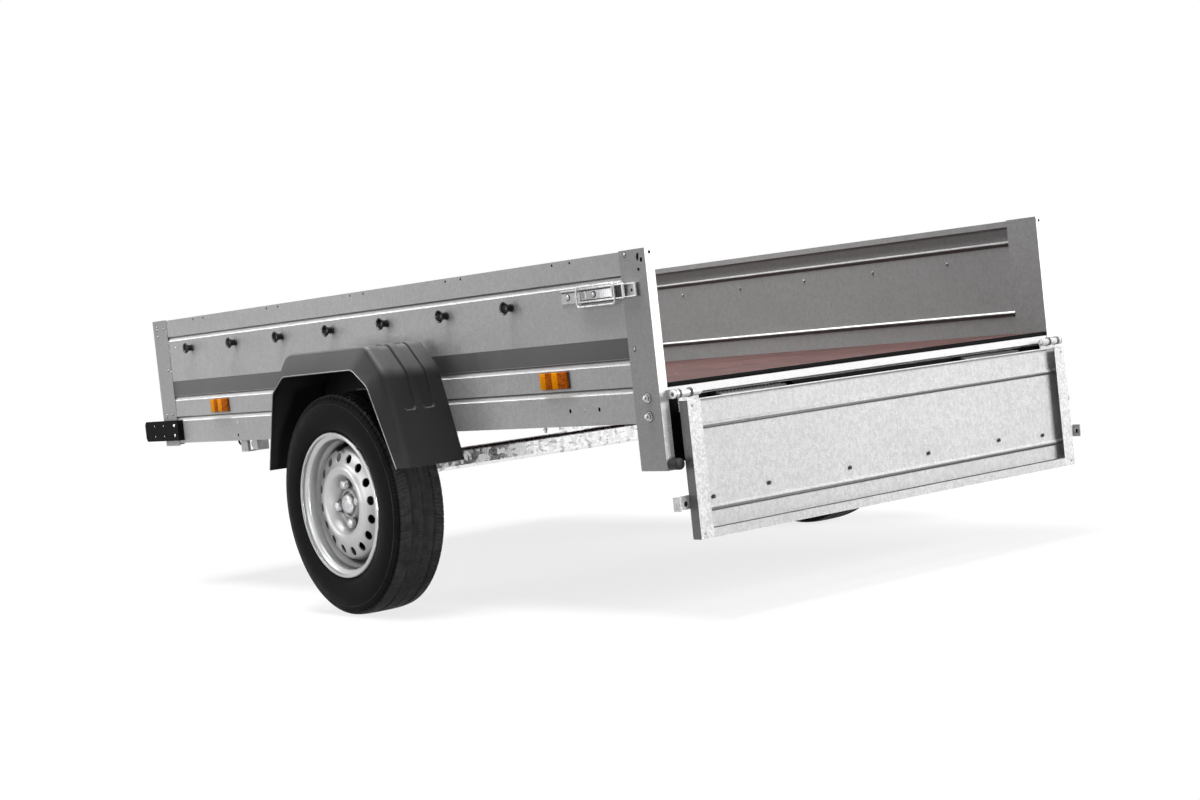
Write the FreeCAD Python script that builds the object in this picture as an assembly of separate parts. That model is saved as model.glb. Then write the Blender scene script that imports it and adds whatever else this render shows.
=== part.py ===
import FreeCAD, Part
import math
import os

# A single-axle utility trailer with a sheet-steel box, a hinged tailgate and a jockey wheel.
# Lengths are millimetres. X points to the coupling, Y to the left and Z up, and the ground is at Z = 0.
# Places along X are measured from the wheels' axis.
# The origin is then set below the middle of the whole trailer.

V = FreeCAD.Vector

# Box
bed_front = 1337.0
bed_rear = 1057.0
bed_half_width = 662.0
wall_top = 813.0
wall_bottom = 437.0
front_wall_bottom = 453.0
floor_top = 521.0
floor_thickness = 10.0
sheet = 2.0
rib_depth = 5.0
rib_height = 14.0
rib_upper_slope = 4.0
rib_lower_slope = 8.0
upper_rib = 755.0
middle_rib = 573.0
lower_rib = 511.0
wall_lip = 19.0
wall_lip_return = 15.0
wall_foot = 14.0

# Corner posts
post_over_wall = 2.0
front_post_side = 91.0
front_post_face = 60.0
front_post_bottom = 429.0
rear_post_side = 88.0
rear_post_inner_side = 96.0
rear_post_face = 24.0

# Frame below the floor
rail_width = 45.0
rail_height = 60.0
frame_wall = 2.5
cross_width = 40.0
cross_places = (1288.0, 820.0, 350.0, -120.0, -590.0)
sill_height = 17.0
sill_depth = 42.0
beam_setback = 27.0
beam_depth = 36.0
beam_height = 52.0
drawbar_side = 60.0
drawbar_wall = 4.0
drawbar_round = 8.0
drawbar_rear = 150.0

# Coupling
coupling_reach = 2335.0
ball_radius = 25.0
ball_gap = 0.3
coupling_wall = 5.0
coupling_length = 270.0
coupling_socket_back = 42.0
coupling_lip = 14.0
lever_length = 150.0
lever_width = 30.0
lever_thickness = 8.0
lever_rise = 26.0
lever_stand = 12.0

# Axle
wheel_radius = 280.5
axle_ahead = 140.0
axle_rise = 61.5
axle_side = 54.0
axle_wall = 5.0
axle_round = 9.0
axle_setback = 150.0
bracket_length = 160.0
bracket_width = 60.0
bracket_plate = 6.0
arm_thickness = 25.0
arm_hub_radius = 36.0
spindle_radius = 16.0
spindle_seat_radius = 24.0
spindle_seat = 50.0

# Wheels
wheel_outset = 128.0
tyre_half_width = 77.5
tread_half_width = 63.0
shoulder_radius = 267.5
flange_half = 67.0
flange_radius = 181.5
bead_radius = 165.0
sidewall_radius = 189.5
rim_wall = 4.0
flange_lip = 9.0
bead_width = 26.0
well_radius = 148.0
disc_offset = 30.0
disc_ridge = 23.0
disc_foot_radius = 60.0
disc_ridge_radius = 86.0
disc_ridge_half = 7.0
disc_shoulder_radius = 102.0
disc_shoulder = 14.0
disc_edge = -6.0
disc_edge_radius = 138.0
disc_skirt = 10.0
centre_hole_radius = 29.0
vent_circle = 118.0
vent_radius = 12.0
vent_count = 16
bolt_circle = 50.0
bolt_radius = 9.5
bolt_height = 12.0
bolt_count = 4
hub_flange_radius = 58.0
hub_flange = 9.0
hub_radius = 33.0
hub_length = 66.0
hub_floor = 16.0
cap_radius = 28.0
cap_length = 30.0
cap_round = 5.0

# Mudguards
guard_behind = 100.0
guard_beyond = 60.0
guard_lip_out = 26.0
guard_wall = 3.0
guard_middle = 3.0
guard_top_half = 193.0
guard_front_shoulder_half = 282.0
guard_rear_shoulder_half = 263.0
guard_front_foot_half = 345.0
guard_rear_foot_half = 334.0
guard_top = 671.0
guard_front_shoulder = 577.0
guard_rear_shoulder = 601.0
guard_foot = 371.0
lip_depth = 56.0
lip_front_half = 181.0
lip_rear_half = 160.0
lip_bend_half = 223.0
lip_bend = 572.0
lip_rear_half_way = 255.0
lip_rear_middle = 490.0
lip_foot_half = 315.0
lip_front_out = 4.0
guard_side_depth = 110.0
guard_channel_places = (56.0, 109.5)
guard_channel_width = 35.0
guard_channel_depth = 5.0
guard_channel_ahead = 18.0
guard_channel_end = 507.0
guard_bracket_at = 150.0
guard_bracket_width = 40.0
guard_bracket_leg = 45.0
guard_bracket_drop = 28.0

# Tailgate
gate_side_gap = 30.0
gate_depth = 27.0
gate_gap = 5.0
gate_standoff = 26.0
gate_height = 300.0
hinge_below_floor = 24.5
gate_below_hinge = 16.0
gate_channel = 37.0
gate_lip_return = 20.0
gate_top_lip = 14.0
gate_upper_rib = 60.0
gate_lower_rib = 239.0
barrel_radius = 8.0
barrel_length = 57.0
pin_radius = 5.0
pin_gap = 0.4
ear_thickness = 6.0
ear_radius = 10.0
leaf_thickness = 3.0
leaf_overlap = 12.0
catch_height = 30.0
catch_middle = 234.5
catch_outreach = 44.0
catch_base = 30.0
catch_hook = 20.0
catch_plate = 3.0
gate_knob_row = 223.5
gate_knob_outer_row = 231.0
gate_knob_shift = 12.0

# Knobs for a cover
knob_height = 722.0
knob_foot_radius = 12.0
knob_waist_radius = 6.5
knob_head_radius = 13.0
knob_length = 22.0
knob_head = 5.0
knob_foot = 4.0
knob_setback = 257.0
knob_pitch = 274.0
knob_count = 7
front_knob_inset = 262.0
gate_knob_margin = 225.5
gate_knob_inset = 77.0
gate_knob_shares = (-1, -1 / 3, 1 / 3, 1)

# Side reflectors
reflector_length = 110.0
reflector_height = 42.0
reflector_thickness = 9.0
reflector_middle = 544.0
reflector_front = 951.0
reflector_rear = -692.0

# Latches
latch_below_top = 85.0
latch_base_height = 31.0
latch_base_length = 214.0
latch_plate = 3.0
latch_lever_setback = 11.0
latch_lever_length = 125.0
latch_lever_depth = 11.0
latch_hook_from = 22.0
latch_hook_length = 36.0
bail_radius = 3.0
bail_half_height = 21.0

# Front lamp brackets
lamp_bracket_reach = 100.0
lamp_bracket_length = 225.0
lamp_bracket_bottom = 446.0
lamp_bracket_top = 508.0
lamp_bracket_stand = 14.0
lamp_bracket_plate = 3.0
lamp_bracket_hole = 4.5
lamp_bracket_round = 14.0
lamp_bracket_row = 15.0
lamp_bracket_pitch = 62.0
lamp_bracket_boss = 7.0

# Rear lamps and plate holder
lamp_inset = 157.0
lamp_width = 205.0
lamp_height = 96.0
lamp_top = 488.0
lamp_depth = 46.0
lamp_round = 8.0
lamp_board_side_gap = 28.0
lamp_board_bottom = 347.0
lamp_board_thickness = 3.0
plate_side_gap = 38.0
plate_bottom = 384.0
plate_thickness = 3.0
plate_ahead = 18.0

# Buffers
buffer_radius = 13.0
buffer_length = 32.0
buffer_side = 12.0
buffer_below_hinge = 149.5
buffer_above_foot = 14.0

# Jockey wheel
jockey_ahead = 1560.0
jockey_side = 76.0
jockey_outer_radius = 24.0
jockey_tube_wall = 2.5
jockey_slide_gap = 0.5
jockey_outer_bottom = 378.0
jockey_outer_top = 735.0
jockey_inner_overlap = 240.0
jockey_inner_wall = 3.0
jockey_stroke = 135.0
jockey_stop_gap = 6.0
jockey_wheel_radius = 100.0
jockey_wheel_half = 25.0
jockey_wheel_bevel = 10.0
jockey_bore = 8.0
jockey_trail = 38.0
jockey_cheek = 4.0
jockey_cheek_gap = 6.0
jockey_cheek_width = 46.0
jockey_crown = 8.0
jockey_stem_radius = 15.0
swivel_gap = 0.5
clamp_height = 44.0
clamp_wall = 8.0
clamp_length = 80.0
clamp_ear = 30.0
crank_radius = 7.0
crank_arm = 92.0
crank_rise = 16.0
crank_grip_radius = 12.0
crank_grip = 66.0

# Plug holder
plug_ahead = 1965.0
plug_holder_length = 36.0
plug_holder_width = 46.0
plug_holder_height = 44.0
plug_holder_wall = 3.0
plug_radius = 18.0

fit_gap = 0.3
overrun = 10.0

# Places that follow from the sizes above
floor_bottom = floor_top - floor_thickness
latch_height = wall_top - latch_below_top
hinge_height = floor_top - hinge_below_floor
buffer_height = hinge_height - buffer_below_hinge
rear_post_bottom = buffer_height - buffer_above_foot
wall_face = bed_half_width - sheet
inner_half = wall_face - sheet - rib_depth - fit_gap
box_front = bed_front - sheet
box_rear = bed_rear - sheet
rail_bottom = floor_bottom - rail_height
wheel_middle = bed_half_width + wheel_outset
axle_half = wheel_middle - axle_setback
guard_inner = wheel_middle - guard_behind
guard_ridge = wheel_middle + guard_beyond
guard_edge = guard_ridge + guard_lip_out
post_top = wall_top + post_over_wall
drawbar_bottom = rail_bottom - drawbar_side
drawbar_middle = rail_bottom - drawbar_side / 2
axle_height = wheel_radius + axle_rise
gate_half_width = bed_half_width - gate_side_gap
lamp_inner = bed_half_width - lamp_inset - lamp_width
gate_outer = -(bed_rear + gate_standoff)
gate_closed_inner = -(bed_rear + gate_gap)
hinge_x = (gate_outer + gate_closed_inner - gate_depth) / 2
gate_top = hinge_height - gate_below_hinge
gate_bottom = gate_top - gate_height
gate_inner = gate_outer - gate_depth
jockey_x = jockey_ahead
jockey_y = -(jockey_side)
jockey_inner_radius = jockey_outer_radius - jockey_tube_wall - jockey_slide_gap
jockey_inner_bottom = jockey_outer_bottom - jockey_stroke - jockey_stop_gap
middle_shift = -(coupling_reach + gate_inner) / 2


def across(outline, low, high):
    """A solid with an (X, Z) outline, from Y = low to Y = high."""
    points = [V(x, low, z) for x, z in outline]
    return Part.Face(Part.makePolygon(points + points[:1])).extrude(V(0, high - low, 0))


def along(outline, rear, front):
    """A solid with a (Y, Z) outline, from X = rear to X = front."""
    points = [V(rear, y, z) for y, z in outline]
    return Part.Face(Part.makePolygon(points + points[:1])).extrude(V(front - rear, 0, 0))


def upward(outline, low, high):
    """A solid with an (X, Y) outline, from Z = low to Z = high."""
    points = [V(x, y, low) for x, y in outline]
    return Part.Face(Part.makePolygon(points + points[:1])).extrude(V(0, 0, high - low))


def block(x0, x1, y0, y1, z0, z1):
    """A box between two corners, given in any order."""
    low = V(min(x0, x1), min(y0, y1), min(z0, z1))
    return Part.makeBox(abs(x1 - x0), abs(y1 - y0), abs(z1 - z0), low)


def rod(radius, start, end):
    """A round bar from start to end."""
    return Part.makeCylinder(radius, start.distanceToPoint(end), start, end - start)


def pipe(outer, inner, start, end):
    """A round tube from start to end."""
    reach = (end - start).normalize() * overrun
    return rod(outer, start, end).cut(rod(inner, start - reach, end + reach))


def turned(outline, middle):
    """A solid turned about a line along Y through middle, from (Y, radius) points."""
    points = [V(middle.x, middle.y + y, middle.z + r) for y, r in outline]
    return Part.Face(Part.makePolygon(points + points[:1])).revolve(middle, V(0, 1, 0), 360)


def joined(shapes):
    """One solid from overlapping or touching shapes."""
    return shapes[0].multiFuse(shapes[1:]).removeSplitter()


def mirrored(shape):
    """The same piece on the trailer's other side."""
    return shape.mirror(V(0, 0, 0), V(0, 1, 0))


def rounded(shape, radius, direction):
    """The shape with its straight edges along a direction rounded."""
    edges = [e for e in shape.Edges if abs(abs(e.tangentAt(e.FirstParameter).dot(direction)) - 1) < 1e-6]
    return shape.makeFillet(radius, edges)


def channel(back, tip, low, high, wall):
    """The outline of a C section, open towards tip."""
    inward = math.copysign(wall, tip - back)
    return [
        (back, low),
        (tip, low),
        (tip, low + wall),
        (back + inward, low + wall),
        (back + inward, high - wall),
        (tip, high - wall),
        (tip, high),
        (back, high),
    ]


def ribbed_line(low, high, ribs, depth):
    """Points up a pressed sheet, which is pushed in by the ribs' depth at each rib."""
    half = rib_height / 2
    points = [(depth, low)]
    for rib in sorted(ribs):
        points.append((depth, rib - half))
        points.append((depth + rib_depth, rib - half + rib_lower_slope))
        points.append((depth + rib_depth, rib + half - rib_upper_slope))
        points.append((depth, rib + half))
    return points + [(depth, high)]


def pressed_sheet(low, high, ribs, foot, foot_return, lip, lip_return):
    """The section of a pressed sheet with folded edges, as depth behind its outer face and height."""
    outside = ribbed_line(low, high, ribs, 0)
    inside = ribbed_line(low + sheet, high - sheet, ribs, sheet)[::-1]
    head = [(lip, high), (lip, high - lip_return)]
    head += [(lip - sheet, high - lip_return), (lip - sheet, high - sheet)]
    tail = [(foot - sheet, low + sheet), (foot - sheet, low + foot_return)]
    tail += [(foot, low + foot_return), (foot, low)]
    return outside + head + inside + tail


def offset_path(points, distance):
    """The path moved to its right-hand side by a distance, with sharp corners."""
    normals = []
    for (x0, z0), (x1, z1) in zip(points, points[1:]):
        length = math.hypot(x1 - x0, z1 - z0)
        normals.append(((z1 - z0) / length, -(x1 - x0) / length))
    pairs = [(normals[0], normals[0])] + list(zip(normals, normals[1:])) + [(normals[-1], normals[-1])]
    moved = []
    for (x, z), (a, b) in zip(points, pairs):
        scale = distance / (1 + a[0] * b[0] + a[1] * b[1])
        moved.append((x + (a[0] + b[0]) * scale, z + (a[1] + b[1]) * scale))
    return moved


def save(name, *solids):
    """Writes one sub-part, moved so that the origin lies below the trailer's middle."""
    shape = solids[0] if len(solids) == 1 else Part.makeCompound(list(solids))
    moved = shape.copy()
    moved.translate(V(middle_shift, 0, 0))
    moved.exportStep(os.path.join("parts", name + ".step"))


def save_pair(name, solid):
    """Writes the left piece and its mirror image as two sub-parts."""
    save(name + "_left", solid)
    save(name + "_right", mirrored(solid))


def floor_panel():
    """Plywood floor between the walls, cut out round the rear posts."""
    front = box_front - sheet - rib_depth - fit_gap
    panel = block(-(box_rear - sheet), front, -inner_half, inner_half, floor_bottom, floor_top)
    notch = block(
        -bed_rear,
        -bed_rear + rear_post_inner_side + fit_gap,
        bed_half_width - rear_post_face - fit_gap,
        bed_half_width,
        floor_bottom - overrun,
        floor_top + overrun,
    )
    return panel.cut(notch).cut(mirrored(notch))


def side_wall():
    """Left side wall, a pressed sheet with a folded top lip and foot."""
    section = pressed_sheet(
        wall_bottom,
        wall_top,
        (lower_rib, middle_rib, upper_rib),
        wall_foot,
        sheet,
        wall_lip,
        wall_lip_return,
    )
    outline = [(wall_face - depth, z) for depth, z in section]
    return along(outline, -box_rear, box_front)


def front_wall():
    """Front wall between the side walls, with the same ribs."""
    section = pressed_sheet(
        front_wall_bottom,
        wall_top,
        (lower_rib, middle_rib, upper_rib),
        wall_foot,
        sheet,
        wall_lip,
        wall_lip_return,
    )
    outline = [(box_front - depth, z) for depth, z in section]
    wall = across(outline, -inner_half, inner_half)
    lip_end = wall_face - wall_lip - fit_gap
    corner = block(
        box_front + overrun,
        box_front - wall_lip - overrun,
        lip_end,
        wall_face,
        wall_top - wall_lip_return - fit_gap,
        wall_top + overrun,
    )
    return wall.cut(corner).cut(mirrored(corner))


def front_post():
    """Left front corner post, an angle round the outside of both walls."""
    outline = [
        (bed_front, bed_half_width),
        (bed_front - front_post_side, bed_half_width),
        (bed_front - front_post_side, wall_face),
        (box_front, wall_face),
        (box_front, bed_half_width - front_post_face),
        (bed_front, bed_half_width - front_post_face),
    ]
    return upward(outline, front_post_bottom, post_top)


def rear_post():
    """Left rear corner post: an angle below the floor, closed to a channel above it."""
    rear = -bed_rear
    face_end = bed_half_width - rear_post_face
    angle = [
        (rear, bed_half_width),
        (rear + rear_post_side, bed_half_width),
        (rear + rear_post_side, wall_face),
        (rear + sheet, wall_face),
        (rear + sheet, face_end),
        (rear, face_end),
    ]
    inner = block(
        rear,
        rear + rear_post_inner_side,
        face_end,
        face_end + sheet,
        floor_bottom + fit_gap,
        post_top,
    )
    return joined([upward(angle, rear_post_bottom, post_top), inner])


def side_rail():
    """Left long member below the floor."""
    outline = channel(inner_half, inner_half - rail_width, rail_bottom, floor_bottom, frame_wall)
    front = box_front - wall_foot - fit_gap
    return along(outline, -box_rear + sill_depth, front)


def cross_members():
    """Cross members between the rails."""
    half = inner_half - rail_width
    members = []
    for place in cross_places:
        back = place - cross_width / 2
        outline = channel(back, place + cross_width / 2, rail_bottom, floor_bottom, frame_wall)
        members.append(across(outline, -half, half))
    return members


def rear_sill():
    """Bright band below the floor's rear edge."""
    outline = channel(-box_rear, -box_rear + sill_depth, floor_bottom - sill_height, floor_bottom, sheet)
    return across(outline, -inner_half, inner_half)


def rear_beam():
    """Beam below the sill that carries the lamps."""
    back = -bed_rear + beam_setback
    top = floor_bottom - sill_height
    outline = channel(back, back + beam_depth, top - beam_height, top, frame_wall)
    half = inner_half - rail_width
    return across(outline, -half, half)


def square_tube(start, end, side, wall, corner):
    """A square tube with rounded corners, from start to end along X or Y."""
    direction = (end - start).normalize()
    sideways = V(direction.y, direction.x, 0)
    spread = (sideways + V(0, 0, 1)) * (side / 2)
    core = spread * ((side - 2 * wall) / side)
    reach = direction * overrun
    low, high = start - spread, end + spread
    outer = rounded(block(low.x, high.x, low.y, high.y, low.z, high.z), corner, direction)
    low, high = start - core - reach, end + core + reach
    inner = rounded(block(low.x, high.x, low.y, high.y, low.z, high.z), corner - wall, direction)
    return outer.cut(inner)


def drawbar():
    """Straight square drawbar below the cross members."""
    front = coupling_reach - coupling_socket_back - ball_radius - coupling_wall
    start = V(drawbar_rear, 0, drawbar_middle)
    return square_tube(start, V(front, 0, drawbar_middle), drawbar_side, drawbar_wall, drawbar_round)


def coupling_head():
    """Pressed coupling over the drawbar's end, with a ball socket open below."""
    half = drawbar_side / 2
    outer = half + coupling_wall
    rear = coupling_reach - coupling_length
    socket = V(coupling_reach - coupling_socket_back, 0, drawbar_middle)
    front = socket.x - ball_radius
    sleeve = block(rear, front, -outer, outer, drawbar_bottom, drawbar_middle + outer)
    nose = Part.makeSphere(coupling_socket_back, socket)
    crown = block(front, socket.x, -outer, outer, drawbar_middle - coupling_lip, drawbar_middle + outer)
    room = block(
        rear - overrun,
        front - coupling_wall,
        -half - fit_gap,
        half + fit_gap,
        drawbar_bottom - overrun,
        drawbar_middle + half + fit_gap,
    )
    ball = Part.makeSphere(ball_radius + ball_gap, socket)
    mouth = rod(ball_radius + ball_gap, socket, socket - V(0, 0, drawbar_side))
    below = block(
        front,
        coupling_reach + overrun,
        -drawbar_side,
        drawbar_side,
        drawbar_bottom - drawbar_side,
        drawbar_middle - coupling_lip,
    )
    return joined([sleeve, nose, crown]).cut(below).cut(room).cut(ball).cut(mouth)


def coupling_lever():
    """Lever that locks the coupling, on a short stand."""
    top = drawbar_middle + drawbar_side / 2 + coupling_wall
    front = coupling_reach - coupling_socket_back * 2
    half = lever_width / 2
    rear = front - lever_length
    outline = [
        (front, top),
        (front, top + lever_stand),
        (front - lever_stand * 2, top + lever_stand + lever_thickness),
        (rear, top + lever_rise + lever_thickness),
        (rear, top + lever_rise),
        (front - lever_stand * 2, top + lever_stand),
        (front - lever_stand * 2, top),
    ]
    return across(outline, -half, half)


def jockey_clamp():
    """Clamp on the drawbar's right side that holds the jockey wheel's outer tube."""
    face = -(drawbar_side / 2)
    low = drawbar_middle - clamp_height / 2
    high = drawbar_middle + clamp_height / 2
    plate = block(
        jockey_x - clamp_length / 2,
        jockey_x + clamp_length / 2,
        face - clamp_wall,
        face,
        low,
        high,
    )
    start = V(jockey_x, jockey_y, low)
    end = V(jockey_x, jockey_y, high)
    reach = V(0, 0, overrun)
    collar = rod(jockey_outer_radius + clamp_wall, start, end)
    neck = block(
        jockey_x - jockey_outer_radius,
        jockey_x + jockey_outer_radius,
        jockey_y,
        face,
        low,
        high,
    )
    ears = block(
        jockey_x + jockey_outer_radius,
        jockey_x + jockey_outer_radius + clamp_ear,
        jockey_y - clamp_wall,
        jockey_y + clamp_wall,
        low,
        high,
    )
    bore = rod(jockey_outer_radius + swivel_gap / 5, start - reach, end + reach)
    return joined([plate, collar, neck, ears]).cut(bore)


def jockey_outer_tube():
    """Outer tube of the jockey wheel, closed at the top."""
    bottom = V(jockey_x, jockey_y, jockey_outer_bottom)
    top = V(jockey_x, jockey_y, jockey_outer_top)
    tube = pipe(jockey_outer_radius, jockey_outer_radius - jockey_tube_wall, bottom, top)
    lid = rod(jockey_outer_radius, top - V(0, 0, jockey_tube_wall), top)
    return joined([tube, lid])


def jockey_crank():
    """Crank on top of the outer tube, with an upright grip."""
    foot = V(jockey_x, jockey_y, jockey_outer_top)
    elbow = foot + V(0, 0, crank_rise)
    tip = elbow + V(crank_arm, 0, 0)
    grip_top = tip + V(0, 0, crank_grip)
    return joined([
        rod(crank_radius, foot, elbow),
        rod(crank_radius, elbow, tip),
        Part.makeSphere(crank_radius, elbow),
        rod(crank_grip_radius, tip - V(0, 0, crank_radius), grip_top),
    ])


def jockey_inner_tube():
    """Inner tube that slides in the outer tube."""
    bottom = V(jockey_x, jockey_y, jockey_inner_bottom)
    top = V(jockey_x, jockey_y, jockey_outer_bottom + jockey_inner_overlap - jockey_stroke)
    return pipe(jockey_inner_radius, jockey_inner_radius - jockey_inner_wall, bottom, top)


def jockey_fork():
    """Castor fork that swivels below the inner tube, with the wheel behind the swivel."""
    hub = V(jockey_x - jockey_trail, jockey_y, jockey_wheel_radius)
    crown_top = jockey_inner_bottom - swivel_gap
    crown_low = crown_top - jockey_crown
    reach = jockey_wheel_half + jockey_cheek_gap
    half = jockey_cheek_width / 2
    side = [
        (hub.x - half, hub.z),
        (hub.x - half, crown_low),
        (hub.x - half, crown_top),
        (jockey_x + half, crown_top),
        (jockey_x + half, crown_low),
        (hub.x + half, hub.z),
    ]
    foot = rod(half, V(hub.x, jockey_y + reach, hub.z), V(hub.x, jockey_y + reach + jockey_cheek, hub.z))
    left = joined([across(side, jockey_y + reach, jockey_y + reach + jockey_cheek), foot])
    right = left.mirror(hub, V(0, 1, 0))
    crown = block(
        hub.x - half,
        jockey_x + half,
        jockey_y - reach - jockey_cheek,
        jockey_y + reach + jockey_cheek,
        crown_low,
        crown_top,
    )
    stem_radius = jockey_stem_radius
    stem_top = V(jockey_x, jockey_y, crown_top + jockey_cheek_width)
    stem = rod(stem_radius, V(jockey_x, jockey_y, crown_low), stem_top)
    pin_end = V(0, reach + jockey_cheek, 0)
    pin = rod(jockey_bore - swivel_gap, hub - pin_end, hub + pin_end)
    return joined([left, right, crown, stem, pin])


def jockey_wheel():
    """Small solid wheel with bevelled edges."""
    shoulder = jockey_wheel_radius - jockey_wheel_bevel
    half = [
        (jockey_wheel_half, jockey_bore),
        (jockey_wheel_half, shoulder),
        (jockey_wheel_half - jockey_wheel_bevel, jockey_wheel_radius),
    ]
    hub = V(jockey_x - jockey_trail, jockey_y, jockey_wheel_radius)
    return turned(half + [(-y, r) for y, r in half[::-1]], hub)


def plug_holder():
    """Small bracket below the drawbar with the parked plug."""
    top = drawbar_bottom
    low = top - plug_holder_height
    half = plug_holder_width / 2
    rear = plug_ahead - plug_holder_length / 2
    front = plug_ahead + plug_holder_length / 2
    shell = block(rear, front, -half, half, low, top)
    middle = V(0, 0, top - plug_holder_height / 2)
    plug = rod(plug_radius, V(rear - plug_holder_wall, 0, 0) + middle, V(front + plug_radius, 0, 0) + middle)
    return joined([shell, plug])


def axle_tube():
    """Square axle tube with its brackets below the rails and its saddle below the drawbar."""
    middle = V(axle_ahead, 0, axle_height)
    reach = V(0, axle_half, 0)
    tube = square_tube(middle - reach, middle + reach, axle_side, axle_wall, axle_round)
    top = axle_height + axle_side / 2
    saddle = block(
        axle_ahead - axle_side / 2 + axle_round,
        axle_ahead + axle_side / 2 - axle_round,
        -drawbar_side / 2,
        drawbar_side / 2,
        top - axle_wall,
        drawbar_bottom,
    )
    pieces = [tube, saddle]
    outer = axle_half
    plate_low = rail_bottom - bracket_plate
    for side in (1, -1):
        plate = block(
            axle_ahead - bracket_length / 2,
            axle_ahead + bracket_length / 2,
            side * (outer - bracket_width),
            side * outer,
            plate_low,
            rail_bottom,
        )
        pieces.append(plate)
        for inset in (0, bracket_width - bracket_plate):
            web = [
                (axle_ahead - bracket_length / 2, plate_low),
                (axle_ahead + bracket_length / 2, plate_low),
                (axle_ahead + axle_side / 2, axle_height),
                (axle_ahead - axle_side / 2, axle_height),
            ]
            faces = (side * (outer - inset), side * (outer - inset - bracket_plate))
            pieces.append(across(web, min(faces), max(faces)))
    body = joined(pieces)
    core = (axle_side - 2 * axle_wall) / 2
    bore = block(
        axle_ahead - core,
        axle_ahead + core,
        -axle_half - overrun,
        axle_half + overrun,
        axle_height - core,
        axle_height + core,
    )
    return body.cut(rounded(bore, axle_round - axle_wall, V(0, 1, 0)))


def trailing_arm():
    """Left arm from the axle tube's end to the spindle that carries the hub."""
    inner = axle_half + fit_gap
    outer = inner + arm_thickness
    pivot = V(axle_ahead, inner, axle_height)
    spindle = V(0, inner, wheel_radius)
    thick = V(0, arm_thickness, 0)
    run = math.hypot(axle_ahead, axle_rise)
    across_x = axle_rise / run * arm_hub_radius
    across_z = axle_ahead / run * arm_hub_radius
    web = [
        (axle_ahead - across_x, axle_height + across_z),
        (-across_x, wheel_radius + across_z),
        (across_x, wheel_radius - across_z),
        (axle_ahead + across_x, axle_height - across_z),
    ]
    seat_end = outer + spindle_seat
    hub_back = wheel_middle + disc_offset - hub_length
    spindle_end = wheel_middle + disc_offset - hub_floor
    core = axle_side / 2 - axle_wall - fit_gap
    shaft = block(
        axle_ahead - core / math.sqrt(2),
        axle_ahead + core / math.sqrt(2),
        axle_half - bracket_width,
        inner,
        axle_height - core / math.sqrt(2),
        axle_height + core / math.sqrt(2),
    )
    root = V(0, outer, wheel_radius)
    seat = V(0, min(seat_end, hub_back - fit_gap), wheel_radius)
    return joined([
        rod(arm_hub_radius, pivot, pivot + thick),
        rod(arm_hub_radius, spindle, spindle + thick),
        across(web, inner, outer),
        rod(spindle_seat_radius, root, seat),
        rod(spindle_radius, root, V(0, spindle_end, wheel_radius)),
        shaft,
    ])


def hub():
    """Left hub with its flange, wheel bolts and dust cap."""
    middle = V(0, wheel_middle + disc_offset, wheel_radius)
    outline = [
        (-hub_length, spindle_radius + swivel_gap),
        (-hub_length, hub_radius),
        (-hub_flange, hub_radius),
        (-hub_flange, hub_flange_radius),
        (0, hub_flange_radius),
        (0, cap_radius - fit_gap),
        (cap_length - cap_round, cap_radius - fit_gap),
        (cap_length, cap_radius - cap_round),
        (cap_length, 0),
        (-hub_floor + swivel_gap, 0),
        (-hub_floor + swivel_gap, spindle_radius + swivel_gap),
    ]
    return turned(outline, middle)


def wheel_bolts():
    """Bolt heads on the disc."""
    face = wheel_middle + disc_offset + rim_wall
    bolts = []
    for index in range(bolt_count):
        angle = 2 * math.pi * (index + 0.5) / bolt_count
        x = bolt_circle * math.cos(angle)
        z = wheel_radius + bolt_circle * math.sin(angle)
        bolts.append(rod(bolt_radius, V(x, face, z), V(x, face + bolt_height, z)))
    return bolts


def rim():
    """Left rim: a rolled well with a dished disc, vent holes and wheel bolts."""
    middle = V(0, wheel_middle, wheel_radius)
    outside = [
        (-flange_half, flange_radius),
        (-flange_half + flange_lip, bead_radius),
        (-flange_half + flange_lip + bead_width, bead_radius),
        (-flange_half + flange_lip + bead_width + rim_wall, well_radius),
        (flange_half - flange_lip - bead_width - rim_wall, well_radius),
        (flange_half - flange_lip - bead_width, bead_radius),
        (flange_half - flange_lip, bead_radius),
        (flange_half, flange_radius),
    ]
    well = turned(outside + offset_path(outside, rim_wall)[::-1], middle)
    face = disc_offset
    weld_radius = well_radius - rim_wall * 3 / 2
    spread = [
        (face, centre_hole_radius),
        (face, disc_foot_radius),
        (face + disc_ridge, disc_ridge_radius - disc_ridge_half),
        (face + disc_ridge, disc_ridge_radius + disc_ridge_half),
        (face + disc_shoulder, disc_shoulder_radius),
        (face + disc_edge, disc_edge_radius),
        (face + disc_edge - disc_skirt / 2, weld_radius),
        (face + disc_edge - disc_skirt, weld_radius),
    ]
    disc = turned(spread + offset_path(spread, rim_wall)[::-1], middle)
    shape = joined([well, disc])
    for index in range(vent_count):
        angle = 2 * math.pi * index / vent_count
        x = vent_circle * math.cos(angle)
        z = wheel_radius + vent_circle * math.sin(angle)
        shape = shape.cut(rod(vent_radius, V(x, wheel_middle, z), V(x, wheel_middle + bed_half_width, z)))
    return joined([shape] + wheel_bolts())


def tyre():
    """Left tyre, a plain ring that fills the space between its sidewalls."""
    seat = bead_radius + fit_gap
    toe = flange_half - flange_lip - fit_gap
    half = [
        (toe, seat),
        (toe, flange_radius),
        (tyre_half_width, sidewall_radius),
        (tyre_half_width, shoulder_radius),
        (tread_half_width, wheel_radius),
    ]
    return turned(half + [(-y, r) for y, r in half[::-1]], V(0, wheel_middle, wheel_radius))


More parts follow.
